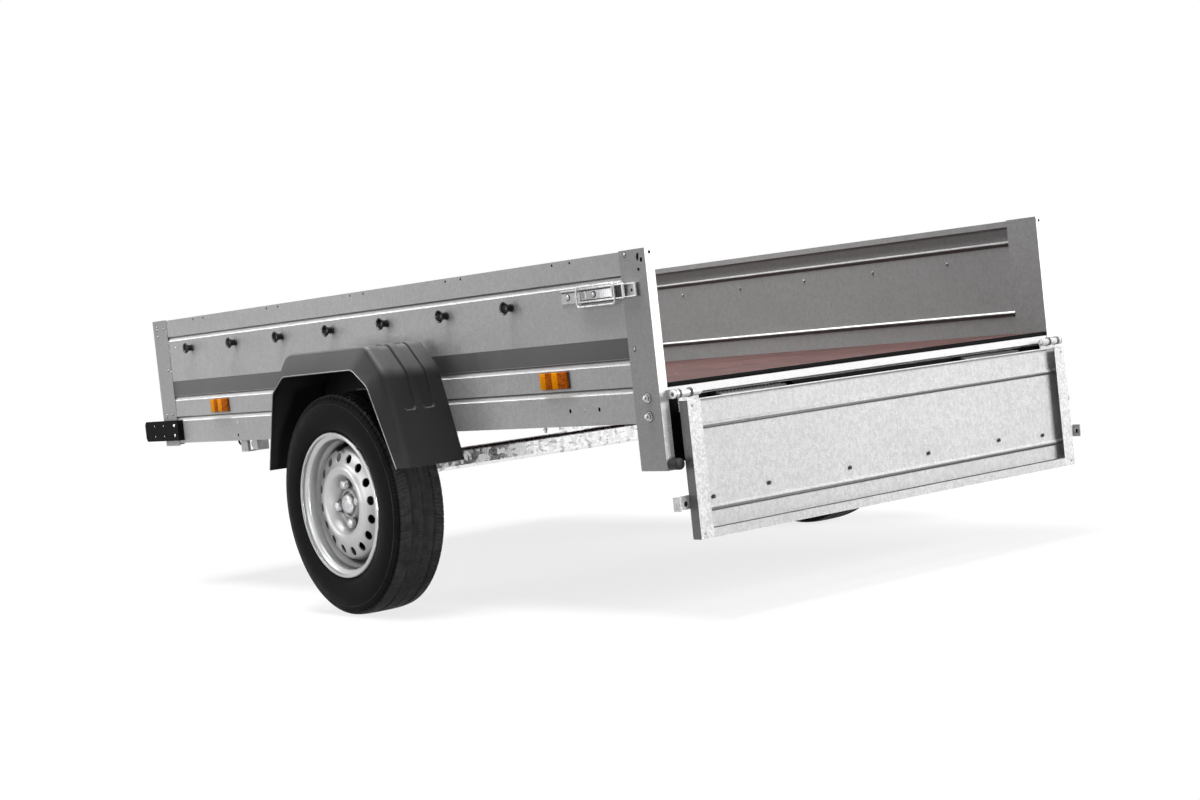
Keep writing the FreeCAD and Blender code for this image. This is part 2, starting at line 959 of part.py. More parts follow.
def guard_path():
    """The mudguard's outer profile from its front foot to its rear foot."""
    m = guard_middle
    return [
        (m + guard_front_foot_half, guard_foot),
        (m + guard_front_shoulder_half, guard_front_shoulder),
        (m + guard_top_half, guard_top),
        (m - guard_top_half, guard_top),
        (m - guard_rear_shoulder_half, guard_rear_shoulder),
        (m - guard_rear_foot_half, guard_foot),
    ]


def triangle(a, b, c, push):
    """A plate on three points, as thick as push."""
    return Part.Face(Part.makePolygon([a, b, c, a])).extrude(push)


def guard_lip():
    """Flared side band between the mudguard's ridge and its arch."""
    path = guard_path()
    m = guard_middle
    low_top = guard_top - lip_depth
    edge = [
        V(path[1][0] - guard_wall, guard_ridge + lip_front_out, path[1][1] - guard_wall),
        V(m + lip_front_half, guard_edge, low_top),
        V(m - lip_rear_half, guard_edge, low_top),
        V(m - lip_bend_half, guard_edge, lip_bend),
        V(m - lip_rear_half_way, guard_edge, lip_rear_middle),
        V(m - lip_foot_half, guard_edge, guard_foot),
    ]
    ridge = [V(x, guard_ridge, z) for x, z in path[1:]]
    push = V(0, -guard_wall, 0)
    plates = []
    for index in range(3):
        plates.append(triangle(ridge[index], ridge[index + 1], edge[index + 1], push))
        plates.append(triangle(ridge[index], edge[index + 1], edge[index], push))
    plates.append(triangle(ridge[3], edge[4], edge[3], push))
    plates.append(triangle(ridge[3], ridge[4], edge[4], push))
    plates.append(triangle(ridge[4], edge[5], edge[4], push))
    return plates


def guard_channel(low, width, reach):
    """A channel pressed over the mudguard's rear chamfer, or with a reach the room that it needs."""
    top, shoulder, foot = guard_path()[3:]
    run = (foot[0] - shoulder[0]) / (shoulder[1] - foot[1])
    end = (shoulder[0] + run * (shoulder[1] - guard_channel_end), guard_channel_end)
    start = (top[0] + guard_channel_ahead, top[1])
    surface = [start, top, shoulder, end]
    lowered = offset_path(surface, -guard_channel_depth)
    if reach:
        return across(offset_path(surface, reach) + offset_path(surface, -reach)[::-1], low, low + width)
    outside = [start] + lowered[1:-1] + [end]
    inside = offset_path(outside, -guard_wall)
    plate = across(outside + inside[::-1], low, low + width)
    cheeks = surface + inside[::-1]
    near = across(cheeks, low - guard_wall, low)
    far = across(cheeks, low + width, low + width + guard_wall)
    return joined([plate, near, far])


def mudguard():
    """Left mudguard, an angular plastic shell with an inner side."""
    path = guard_path()
    strip = across(path + offset_path(path, -guard_wall)[::-1], guard_inner, guard_ridge)
    for middle in guard_channel_places:
        low = guard_inner + middle - guard_channel_width / 2
        strip = strip.cut(guard_channel(low, guard_channel_width, guard_wall * 2))
        strip = joined([strip, guard_channel(low, guard_channel_width, 0)])
    side = across(path + offset_path(path, -guard_side_depth)[::-1], guard_inner, guard_inner + guard_wall)
    below = block(
        path[0][0] + guard_side_depth,
        path[-1][0] - guard_side_depth,
        guard_inner - overrun,
        guard_edge + overrun,
        guard_foot,
        guard_foot - guard_side_depth,
    )
    return joined([strip, side] + guard_lip()).cut(below)


def guard_brackets():
    """Angles between the side walls and the mudguards."""
    brackets = []
    top = guard_top - guard_bracket_drop
    for place in (guard_middle - guard_bracket_at, guard_middle + guard_bracket_at):
        rear = place - guard_bracket_width / 2
        front = place + guard_bracket_width / 2
        outline = [
            (wall_face, top),
            (guard_inner, top),
            (guard_inner, top - guard_bracket_leg),
            (guard_inner - guard_wall, top - guard_bracket_leg),
            (guard_inner - guard_wall, top - guard_wall),
            (wall_face + guard_wall, top - guard_wall),
            (wall_face + guard_wall, top - guard_bracket_leg),
            (wall_face, top - guard_bracket_leg),
        ]
        bracket = along(outline, rear, front)
        brackets += [bracket, mirrored(bracket)]
    return brackets


def gate_panel():
    """Tailgate panel, hanging open, with folded edges and two ribs."""
    section = pressed_sheet(
        gate_bottom,
        gate_top,
        (gate_top - gate_lower_rib, gate_top - gate_upper_rib),
        gate_depth - sheet,
        gate_lip_return,
        gate_top_lip,
        sheet,
    )
    outline = [(gate_outer - sheet - depth, z) for depth, z in section]
    half = gate_half_width - sheet
    panel = across(outline, -half, half)
    room = block(
        gate_outer - sheet * 2 - rib_depth - fit_gap,
        gate_inner - overrun,
        half - gate_channel + sheet,
        half + overrun,
        gate_bottom - overrun,
        gate_top + overrun,
    )
    return panel.cut(room).cut(mirrored(room))


def gate_channel_left():
    """Channel over the tailgate's left edge."""
    outline = [
        (gate_outer, gate_half_width - gate_channel),
        (gate_outer, gate_half_width),
        (gate_inner, gate_half_width),
        (gate_inner, gate_half_width - gate_channel),
        (gate_inner + sheet, gate_half_width - gate_channel),
        (gate_inner + sheet, gate_half_width - sheet),
        (gate_outer - sheet, gate_half_width - sheet),
        (gate_outer - sheet, gate_half_width - gate_channel),
    ]
    return upward(outline, gate_bottom, gate_top)


def gate_leaf():
    """Left hinge leaf, with its barrel round the pin."""
    outer = gate_half_width
    inner = outer - barrel_length
    start = V(hinge_x, inner, hinge_height)
    end = V(hinge_x, outer, hinge_height)
    barrel = rod(barrel_radius, start, end)
    face = gate_outer
    strap = block(
        face,
        face + leaf_thickness,
        inner,
        outer,
        gate_top - leaf_overlap * 2,
        hinge_height,
    )
    bore = rod(pin_radius + pin_gap, start - V(0, overrun, 0), end + V(0, overrun, 0))
    return joined([barrel, strap]).cut(bore)


def hinge_ear():
    """Left fixed ear on the rear post, with the hinge pin."""
    outer = gate_half_width + ear_thickness * 2
    inner = outer - ear_thickness
    outline_low = hinge_height - ear_radius
    ear = block(-bed_rear, hinge_x, inner, outer, outline_low, hinge_height + ear_radius)
    end = rod(ear_radius, V(hinge_x, inner, hinge_height), V(hinge_x, outer, hinge_height))
    tip = gate_half_width - barrel_length - ear_thickness
    pin = rod(pin_radius, V(hinge_x, tip, hinge_height), V(hinge_x, outer, hinge_height))
    return joined([ear, end, pin])


def gate_catch():
    """Left catch on the tailgate's outer face, which the latch hooks."""
    tip = gate_half_width + catch_outreach
    root = gate_half_width - catch_base
    middle = hinge_height - catch_middle
    low = middle - catch_height / 2
    high = middle + catch_height / 2
    plate = block(gate_outer, gate_outer + catch_plate, root, tip, low, high)
    hook = block(gate_outer + catch_plate, gate_outer - catch_hook, tip - catch_plate, tip, low, high)
    return joined([plate, hook])


def spool():
    """Outline of a cover knob along its axis, from its foot to its head."""
    return [
        (0, 0),
        (0, knob_foot_radius),
        (knob_foot, knob_foot_radius),
        (knob_foot * 2, knob_waist_radius),
        (knob_length - knob_head * 2, knob_waist_radius),
        (knob_length - knob_head, knob_head_radius),
        (knob_length, knob_head_radius),
        (knob_length, 0),
    ]


def side_knobs():
    """Cover knobs along both side walls."""
    knobs = []
    for index in range(knob_count):
        middle = V(bed_front - knob_setback - index * knob_pitch, wall_face, knob_height)
        knob = turned(spool(), middle)
        knobs += [knob, mirrored(knob)]
    return knobs


def front_knobs():
    """Cover knobs on the front wall."""
    knobs = []
    for side in (-1, 0, 1):
        middle = V(box_front, side * (bed_half_width - front_knob_inset), knob_height)
        points = [V(middle.x + along_x, middle.y, middle.z + r) for along_x, r in spool()]
        knobs.append(Part.Face(Part.makePolygon(points + points[:1])).revolve(middle, V(1, 0, 0), 360))
    return knobs


def gate_knobs():
    """Cover knobs on the tailgate's outer face, two of them nearer its corners."""
    end = gate_half_width - gate_knob_margin
    places = [(gate_knob_shift + end * share, gate_knob_row) for share in gate_knob_shares]
    end = gate_half_width - gate_knob_inset
    places += [(gate_knob_shift + end * side, gate_knob_outer_row) for side in (-1, 1)]
    knobs = []
    for y, row in places:
        middle = V(gate_outer - sheet, y, hinge_height - row)
        points = [V(middle.x + along_x, middle.y, middle.z + r) for along_x, r in spool()]
        knobs.append(Part.Face(Part.makePolygon(points + points[:1])).revolve(middle, V(1, 0, 0), 360))
    return knobs


def reflectors():
    """Two amber reflectors on each side wall."""
    pieces = []
    for place in (reflector_front, reflector_rear):
        lens = block(
            place - reflector_length / 2,
            place + reflector_length / 2,
            wall_face,
            wall_face + reflector_thickness,
            reflector_middle - reflector_height / 2,
            reflector_middle + reflector_height / 2,
        )
        pieces += [lens, mirrored(lens)]
    return pieces


def latch():
    """Left over-centre latch: a base with lever and wire bail on the wall, and a hook on the rear post."""
    base_rear = -bed_rear + rear_post_side + fit_gap
    half = latch_base_height / 2
    low = latch_height - half
    high = latch_height + half
    face = wall_face + latch_plate
    base = block(base_rear, base_rear + latch_base_length, wall_face, face, low, high)
    lever_rear = base_rear + latch_lever_setback
    lever_front = lever_rear + latch_lever_length
    lever = block(lever_rear, lever_front, face, face + latch_lever_depth, low, high)
    hollow = block(
        lever_rear + latch_plate,
        lever_front - latch_plate,
        face + latch_plate,
        face + latch_lever_depth + overrun,
        low + latch_plate,
        high - latch_plate,
    )
    wire_y = face + latch_lever_depth / 2
    bail = wire_loop(lever_rear + bail_radius * 2, lever_front + bail_radius, wire_y, bail_half_height)
    hook_rear = -bed_rear + latch_hook_from
    hook_front = hook_rear + latch_hook_length
    link = wire_loop(hook_front, lever_rear + bail_radius * 2, wire_y, half - bail_radius)
    hook = block(
        hook_rear,
        hook_front,
        bed_half_width,
        wire_y + bail_radius,
        low + bail_radius,
        high - bail_radius,
    )
    return joined([base, lever.cut(hollow), bail, link, hook])


def wire_loop(rear, front, y, half):
    """A rectangle of wire in an upright plane, round the latch's height."""
    low = latch_height - half
    high = latch_height + half
    near = y - bail_radius
    far = y + bail_radius
    outer = block(rear - bail_radius, front + bail_radius, near, far, low - bail_radius, high + bail_radius)
    inner = block(
        rear + bail_radius,
        front - bail_radius,
        near - overrun,
        far + overrun,
        low + bail_radius,
        high - bail_radius,
    )
    return outer.cut(inner)


def lamp_bracket():
    """Left black bracket ahead of the front corner, with six holes and a folded rear edge."""
    front = bed_front + lamp_bracket_reach
    rear = front - lamp_bracket_length
    face = bed_half_width + lamp_bracket_stand
    plate = block(rear, front, face, face + lamp_bracket_plate, lamp_bracket_bottom, lamp_bracket_top)
    across = [e for e in plate.Edges if e.BoundBox.YLength > fit_gap]
    corners = [e for e in across if abs(e.BoundBox.XMin - front) < fit_gap]
    plate = plate.makeFillet(lamp_bracket_round, corners)
    fold = block(
        rear,
        rear + lamp_bracket_plate,
        wall_face,
        face,
        lamp_bracket_bottom,
        lamp_bracket_top,
    )
    pieces = [plate, fold]
    middle = (lamp_bracket_bottom + lamp_bracket_top) / 2
    boss_x = bed_front - lamp_bracket_boss * 2
    pieces.append(rod(lamp_bracket_boss, V(boss_x, bed_half_width, middle), V(boss_x, face, middle)))
    bracket = joined(pieces)
    for column in range(3):
        x = front - lamp_bracket_pitch * (column + 1)
        for z in (lamp_bracket_bottom + lamp_bracket_row, lamp_bracket_top - lamp_bracket_row):
            bracket = bracket.cut(rod(lamp_bracket_hole, V(x, face - fit_gap, z), V(x, face + overrun, z)))
    return bracket


def rear_lamp():
    """Left rear lamp on the lamp board."""
    back = -bed_rear + beam_setback
    body = block(
        back - lamp_depth,
        back - lamp_board_thickness,
        lamp_inner,
        lamp_inner + lamp_width,
        lamp_top - lamp_height,
        lamp_top,
    )
    return rounded(body, lamp_round, V(1, 0, 0))


def plate_holder():
    """Black lamp board across the beam, with a blank number plate holder between the lamps."""
    back = -bed_rear + beam_setback
    face = back - plate_ahead
    half = lamp_inner - plate_side_gap
    board_half = bed_half_width - lamp_board_side_gap
    board = block(
        back - lamp_board_thickness,
        back,
        -board_half,
        board_half,
        lamp_board_bottom,
        lamp_top,
    )
    sheet_plate = block(
        face - plate_thickness,
        face,
        -half,
        half,
        plate_bottom,
        lamp_top,
    )
    shelf = block(
        face,
        back,
        -half,
        half,
        lamp_top - plate_thickness,
        lamp_top,
    )
    return joined([board, sheet_plate, shelf])


def buffer():
    """Left rubber buffer on the rear post's foot."""
    y = bed_half_width - buffer_side
    start = V(-bed_rear, y, buffer_height)
    return rod(buffer_radius, start, start - V(buffer_length, 0, 0))


os.makedirs("parts", exist_ok=True)

save("floor_panel", floor_panel())
save_pair("side_wall", side_wall())
save("front_wall", front_wall())
save_pair("post_front", front_post())
save_pair("post_rear", rear_post())
save("frame_rails", side_rail(), mirrored(side_rail()))
save("cross_members", *cross_members())
save("rear_sill", rear_sill())
save("rear_beam", rear_beam())
save("drawbar", drawbar())
save("coupling_head", coupling_head())
save("coupling_lever", coupling_lever())
save("jockey_clamp", jockey_clamp())
save("jockey_outer_tube", jockey_outer_tube())
save("jockey_crank", jockey_crank())
save("plug_holder", plug_holder())
save("axle_tube", axle_tube())
save_pair("trailing_arm", trailing_arm())
save_pair("mudguard", mudguard())
save("mudguard_brackets", *guard_brackets())
save("side_knobs", *side_knobs())
save("front_knobs", *front_knobs())
save("side_reflectors", *reflectors())
save_pair("latch", latch())
save("lamp_brackets", lamp_bracket(), mirrored(lamp_bracket()))
save_pair("rear_lamp", rear_lamp())
save("plate_holder", plate_holder())
save("post_buffers", buffer(), mirrored(buffer()))
save("hinge_ears", hinge_ear(), mirrored(hinge_ear()))
save("tailgate_panel", gate_panel())
save("tailgate_channels", gate_channel_left(), mirrored(gate_channel_left()))
save("tailgate_leaves", gate_leaf(), mirrored(gate_leaf()))
save("tailgate_catches", gate_catch(), mirrored(gate_catch()))
save("tailgate_knobs", *gate_knobs())
save_pair("hub", hub())
save_pair("rim", rim())
save_pair("tyre", tyre())
save("jockey_inner_tube", jockey_inner_tube())
save("jockey_fork", jockey_fork())
save("jockey_wheel", jockey_wheel())
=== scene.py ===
import math

import bmesh
import bpy
from mathutils import Matrix, Vector

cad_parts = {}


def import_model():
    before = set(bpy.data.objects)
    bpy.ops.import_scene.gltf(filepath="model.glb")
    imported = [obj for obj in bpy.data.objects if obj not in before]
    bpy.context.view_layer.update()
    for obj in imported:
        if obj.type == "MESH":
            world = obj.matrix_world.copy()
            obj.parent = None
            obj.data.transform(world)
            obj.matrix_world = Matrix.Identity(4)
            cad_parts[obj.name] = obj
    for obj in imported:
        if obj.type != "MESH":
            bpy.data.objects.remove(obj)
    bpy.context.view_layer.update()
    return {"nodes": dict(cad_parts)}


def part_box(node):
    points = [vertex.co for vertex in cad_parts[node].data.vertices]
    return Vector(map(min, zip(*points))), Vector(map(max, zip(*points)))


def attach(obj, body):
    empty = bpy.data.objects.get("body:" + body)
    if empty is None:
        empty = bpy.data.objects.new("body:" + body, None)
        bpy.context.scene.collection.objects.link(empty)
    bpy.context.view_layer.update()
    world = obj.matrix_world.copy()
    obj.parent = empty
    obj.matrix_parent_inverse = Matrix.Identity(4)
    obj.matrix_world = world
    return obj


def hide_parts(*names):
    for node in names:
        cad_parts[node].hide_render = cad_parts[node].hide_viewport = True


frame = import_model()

# Sizes are in millimetres from the middle of the wheels' axis at the ground, X forward, Y to the left
MM = 0.001
SIDES = {1: "left", -1: "right"}
OUT = {side: Vector((0, side, 0)) for side in SIDES}
FLIP = {side: Matrix.Diagonal((1, side, 1, 1)) for side in SIDES}
FRONT = Vector((1, 0, 0))
REAR = Vector((-1, 0, 0))
UP = Vector((0, 0, 1))
DOWN = Vector((0, 0, -1))
TURN = 2 * math.pi
SHARP_ANGLE = math.radians(32)

tyre_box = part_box("tyre_left")
axle_x = (tyre_box[0].x + tyre_box[1].x) / 2
TO_FRAME = Matrix.Translation((axle_x, 0, 0)) @ Matrix.Diagonal((MM, MM, MM, 1))


def extent(node):
    """Lowest and highest corner of a CAD node, in millimetres from the wheels' axis."""
    low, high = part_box(node)
    back = TO_FRAME.inverted()
    return back @ low, back @ high


WALL_LOW, WALL_HIGH = extent("side_wall_left")
WALL_FACE = WALL_HIGH.y
POST_REAR = extent("post_rear_left")[0].x
POST_FACE = extent("post_rear_left")[1].y
FLOOR_LOW, FLOOR_HIGH = extent("floor_panel")
GATE_LOW, GATE_HIGH = extent("tailgate_panel")
CHANNEL_LOW, CHANNEL_HIGH = extent("tailgate_channels")
TYRE_LOW, TYRE_HIGH = extent("tyre_left")
WHEEL_RADIUS = TYRE_HIGH.z / 2
WHEEL_Y = (TYRE_LOW.y + TYRE_HIGH.y) / 2


# Places and lines

def polar(radius, angle, height=0):
    """A place round local Z."""
    return Vector((radius * math.cos(angle), radius * math.sin(angle), height))


def facing(middle, direction, spin=0):
    """A matrix that takes local Z to a direction at a place."""
    turn = direction.to_track_quat("Z", "Y").to_matrix().to_4x4()
    return Matrix.Translation(middle) @ turn @ Matrix.Rotation(spin, 4, "Z")


def side_seat(side, x, y, z, spin=0):
    """A matrix for a fitting that faces out on a side of the trailer."""
    return facing((x, side * y, z), OUT[side], spin)


def upright(side, y):
    """A matrix for plates drawn in (X, Z) that lie on a side wall."""
    return Matrix(((1, 0, 0, 0), (0, 0, side, side * y), (0, 1, 0, 0), (0, 0, 0, 1)))


def rectangle(start, end, middle, height):
    """Corners of a rectangle, by its reach along the first axis and its middle and height on the second."""
    low = middle - height / 2
    high = middle + height / 2
    return [(start, low), (end, low), (end, high), (start, high)]


def eased(points, steps):
    """A smooth open line through points, by Catmull-Rom splines."""
    padded = [points[0], *points, points[-1]]
    line = []
    for a, b, c, d in zip(padded, padded[1:], padded[2:], padded[3:]):
        for step in range(steps):
            t = step / steps
            blend = []
            for p, q, r, s in zip(a, b, c, d):
                cubic = (-p + 3 * q - 3 * r + s) * t ** 3
                square = (2 * p - 5 * q + 4 * r - s) * t ** 2
                blend.append((2 * q + (r - p) * t + square + cubic) / 2)
            line.append(tuple(blend))
    return line + [points[-1]]


def bend(start, corner, end, steps):
    """Points of a round bend from its start to its end, drawn towards its corner."""
    points = []
    for step in range(steps + 1):
        t = step / steps
        points.append(start * (1 - t) ** 2 + corner * (2 * t * (1 - t)) + end * t ** 2)
    return points


def rounded_outline(points, radius, steps=4):
    """The closed outline with an arc at each corner."""
    line = []
    count = len(points)
    for index in range(count):
        corner = Vector(points[index])
        before = (Vector(points[index - 1]) - corner).normalized()
        after = (Vector(points[(index + 1) % count]) - corner).normalized()
        half = before.angle(after) / 2
        reach = radius / math.tan(half)
        middle = corner + (before + after).normalized() * (radius / math.sin(half))
        first = corner + before * reach - middle
        last = corner + after * reach - middle
        for step in range(steps + 1):
            line.append(tuple(middle + first.slerp(last, step / steps) * radius))
    return line


def rounded_line(points, eases, cuts):
    """An open line with its inner corners eased and its straight parts cut into steps."""
    places = [Vector(point) for point in points]
    bends = [places[:1]]
    for before, corner, after, ease in zip(places, places[1:], places[2:], eases):
        start = corner + (before - corner).normalized() * ease
        end = corner + (after - corner).normalized() * ease
        bends.append(bend(start, corner, end, 5))
    bends.append(places[-1:])
    line = []
    for near, far, count in zip(bends, bends[1:], cuts):
        line += near
        for step in range(1, count):
            line.append(near[-1].lerp(far[0], step / count))
    return line + bends[-1]


# Shapes: each function gives a bmesh in millimetres

def skin(rows, closed=False):
    """A surface over rows of places, which may close on itself."""
    mesh = bmesh.new()
    grid = [[mesh.verts.new(place) for place in row] for row in rows]
    if closed:
        grid.append(grid[0])
    for near, far in zip(grid, grid[1:]):
        for corners in zip(near, near[1:], far[1:], far):
            mesh.faces.new(corners)
    bmesh.ops.recalc_face_normals(mesh, faces=mesh.faces)
    return mesh


def lathe(profile, sides, closed=False, start=0):
    """A surface of (radius, along) points turned about local Z."""
    mesh = bmesh.new()
    rings = []
    for radius, along in profile:
        ring = []
        for index in range(sides if radius else 1):
            ring.append(mesh.verts.new(polar(radius, start + TURN * index / sides, along)))
        rings.append(ring)
    if closed:
        rings.append(rings[0])
    for near, far in zip(rings, rings[1:]):
        for index in range(sides):
            after = (index + 1) % sides
            corners = []
            for ring, at in ((near, index), (near, after), (far, after), (far, index)):
                vert = ring[at % len(ring)]
                if vert not in corners:
                    corners.append(vert)
            if len(corners) > 2:
                mesh.faces.new(corners)
    bmesh.ops.recalc_face_normals(mesh, faces=mesh.faces)
    return mesh


def block(low, high, bevel, segments=2):
    """A box between two corners with rounded edges."""
    mesh = bmesh.new()
    size = Vector(high) - Vector(low)
    middle = (Vector(high) + Vector(low)) / 2
    bmesh.ops.create_cube(mesh, size=1, matrix=Matrix.Translation(middle) @ Matrix.Diagonal((*size, 1)))
    bmesh.ops.bevel(mesh, geom=mesh.edges[:], offset=bevel, segments=segments, profile=0.5, affect="EDGES")
    return mesh


def from_curve(points, closed, **settings):
    """The mesh of a curve along points."""
    curve = bpy.data.curves.new("curve", "CURVE")
    for name, value in settings.items():
        setattr(curve, name, value)
    spline = curve.splines.new("POLY")
    spline.points.add(len(points) - 1)
    for point, place in zip(spline.points, points):
        point.co = (*place, 1)
    spline.use_cyclic_u = closed
    holder = bpy.data.objects.new("curve", curve)
    made = bpy.data.meshes.new_from_object(holder)
    mesh = bmesh.new()
    mesh.from_mesh(made)
    bpy.data.objects.remove(holder)
    bpy.data.meshes.remove(made)
    bpy.data.curves.remove(curve)
    return mesh


def plate(outline, thickness, bevel):
    """A flat plate in local XY from its outline, up to its thickness along local Z."""
    points = [(x, y, 0) for x, y in outline]
    mesh = from_curve(
        points, True, dimensions="2D", fill_mode="BOTH",
        extrude=thickness / 2 - bevel, bevel_depth=bevel, bevel_resolution=1, offset=-bevel,
    )
    mesh.transform(Matrix.Translation((0, 0, thickness / 2)))
    bmesh.ops.remove_doubles(mesh, verts=mesh.verts, dist=bevel / 20)
    return mesh


def wire(points, radius, closed=False):
    """A round bar along points."""
    return from_curve(
        points, closed, dimensions="3D", bevel_depth=radius, bevel_resolution=3, use_fill_caps=not closed,
    )


def wire_ring(corners, y, radius, bend_radius):
    """A closed wire in an upright plane with rounded corners."""
    line = rounded_outline(corners, bend_radius, 5)
    return wire([(x, y, z) for x, z in line], radius, closed=True)


def as_mesh(name, shape):
    """The mesh made of a shape, which is used up."""
    mesh = bpy.data.meshes.new(name)
    shape.to_mesh(mesh)
    shape.free()
    return mesh


def merge(mesh, other):
    """Adds another shape to a shape, and uses it up."""
    scratch = as_mesh("scratch", other)
    mesh.from_mesh(scratch)
    bpy.data.meshes.remove(scratch)


def linked(name, data):
    """An object of the scene with its data."""
    made = bpy.data.objects.new(name, data)
    bpy.context.scene.collection.objects.link(made)
    return made


class Piece:
    """Shapes gathered in one mesh, which becomes one object of the scene."""

    def __init__(self, name):
        self.name = name
        self.mesh = bmesh.new()
        self.materials = []

    def add(self, shape, material, matrix=Matrix()):
        """Adds a shape, which is used up."""
        if material not in self.materials:
            self.materials.append(material)
        for face in shape.faces:
            face.material_index = self.materials.index(material)
            face.smooth = True
        shape.transform(matrix)
        if matrix.determinant() < 0:
            bmesh.ops.reverse_faces(shape, faces=shape.faces)
        merge(self.mesh, shape)

    def finish(self, body, slot, *nodes, sharp=SHARP_ANGLE):
        """Makes the object, which rides on a body and stands for the CAD nodes that are named."""
        self.mesh.transform(TO_FRAME)
        mesh = as_mesh(self.name, self.mesh)
        for material in self.materials:
            mesh.materials.append(material)
        mesh.set_sharp_from_angle(angle=sharp)
        made = linked(self.name, mesh)
        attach(made, body)
        if nodes:
            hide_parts(*nodes)


# Materials

def add_node(tree, kind, output, inputs, **settings):
    """One output of a new shader node, whose inputs are values or the outputs of other nodes."""
    node = tree.nodes.new("ShaderNode" + kind)
    for name, value in settings.items():
        setattr(node, name, value)
    for name, value in inputs.items():
        if isinstance(value, bpy.types.NodeSocket):
            tree.links.new(value, node.inputs[name])
        else:
            node.inputs[name].default_value = value
    return node.outputs[output]


class Nodes:
    """A material's node tree with short ways to add to it. A colour given as one number is a grey."""

    def __init__(self, name, colour, roughness, metallic=0, **sockets):
        self.material = bpy.data.materials.new(name)
        self.material.use_nodes = True
        self.tree = self.material.node_tree
        self.colour = colour if isinstance(colour, tuple) else (colour,) * 3
        self.roughness = roughness
        values = {"Base Color": (*self.colour, 1), "Roughness": roughness, "Metallic": metallic}
        for socket, value in {**values, **sockets}.items():
            self.shader_input(socket.replace("_", " ")).default_value = value

    def shader_input(self, name):
        """An input of the material's shader."""
        return self.tree.nodes["Principled BSDF"].inputs[name]

    def lead(self, value, name):
        """Leads a value to an input of the material's shader."""
        self.tree.links.new(value, self.shader_input(name))

    def add(self, kind, output, inputs, **settings):
        """One output of a new node."""
        return add_node(self.tree, kind, output, inputs, **settings)

    def place(self, source="Object"):
        """The place in the object's own frame in metres, or another output of the coordinates."""
        return self.add("TexCoord", source, {})

    def axis(self, source, name):
        """One axis of the place or of the surface's direction."""
        return self.add("SeparateXYZ", name, {"Vector": self.place(source)})

    def texture(self, kind, output, scale, stretch=(1, 1, 1), **inputs):
        """A texture over the object's own coordinates."""
        place = self.add("Mapping", "Vector", {"Vector": self.place(), "Scale": stretch})
        return self.add(kind, output, {"Vector": place, "Scale": scale, **inputs})

    def noise(self, scale, detail, stretch=(1, 1, 1)):
        """Soft noise, as a value from 0 to 1."""
        return self.texture("TexNoise", "Fac", scale, stretch, Detail=detail)

    def cells(self, scale, stretch=(1, 1, 1)):
        """Cells with a value from 0 to 1 each."""
        colours = self.texture("TexVoronoi", "Color", scale, stretch)
        return self.add("SeparateColor", "Red", {"Color": colours})

    def ranged(self, value, low, high, start=0.3, end=0.7):
        """The value mapped to run from low to high."""
        inputs = {"Value": value, "From Min": start, "From Max": end, "To Min": low, "To Max": high}
        return self.add("MapRange", "Result", inputs)

    def times(self, first, second):
        """The product of two values."""
        return self.add("Math", "Value", {0: first, 1: second}, operation="MULTIPLY")

    def facing(self, axis, low, high, start, end):
        """A value by the way that the surface faces in the object's own frame."""
        return self.ranged(self.axis("Normal", axis), low, high, start, end)

    def along(self, axis, low, high, start, end):
        """A value by the place along an axis of the object's own frame, in metres."""
        return self.ranged(self.axis("Object", axis), low, high, start, end)

    def outward(self, low, high, start, end):
        """A value by how far the surface faces away from the middle plane."""
        away = self.times(self.axis("Normal", "Y"), self.axis("Object", "Y"))
        return self.ranged(away, low, high, start, end)

    def shade(self, *factors):
        """Multiplies the base colour by the factors."""
        total = factors[0]
        for factor in factors[1:]:
            total = self.times(total, factor)
        inputs = {0: self.colour, "Scale": total}
        self.lead(self.add("VectorMath", "Vector", inputs, operation="SCALE"), "Base Color")

    def rough(self, value, spread):
        """Varies the roughness by a value from 0 to 1."""
        self.lead(self.ranged(value, self.roughness - spread, self.roughness + spread), "Roughness")

    def bump(self, value, distance, strength):
        """Gives relief by a value, as deep as the distance in millimetres."""
        inputs = {"Distance": distance * MM, "Strength": strength, "Height": value}
        self.lead(self.add("Bump", "Normal", inputs), "Normal")


def sheet_metal(name, colour, grain, cloud, inner=1, glint=1.6, under=0.4, rear=1, worn=1):
    """Galvanised sheet with a fine grain and soft clouds, painted highlights on its upward and rear faces,
    and painted shade on its downward and inner faces and towards the rear end.
    """
    nodes = Nodes(name, colour, 0.45, 0.1)
    fine = nodes.noise(380, 1)
    soft = nodes.noise(3, 3, (1, 1, 2.2))
    flakes = nodes.cells(150, (1, 1, 0.7))
    nodes.shade(
        nodes.ranged(fine, 1 - grain, 1 + grain),
        nodes.ranged(soft, 1 - cloud, 1 + cloud),
        nodes.ranged(flakes, 1 - grain / 2, 1 + grain / 2, 0, 1),
        # Painted light and shade: upward faces get a painted highlight, downward faces painted shade, rear
        # faces a painted highlight, the factor along X darkens the sheet towards the rear end as painted
        # shade, and inner faces get painted shade.
        nodes.facing("Z", 1, glint, 0.3, 0.5),
        nodes.facing("Z", under, 1, -0.7, -0.2),
        nodes.facing("X", rear, 1, -0.9, -0.5),
        nodes.along("X", worn, 1, -1.66, -0.9),
        nodes.outward(inner, 1, -0.3, 0.3),
    )
    nodes.rough(flakes, 0.06)
    nodes.bump(fine, 0.08, 0.3)
    return nodes.material


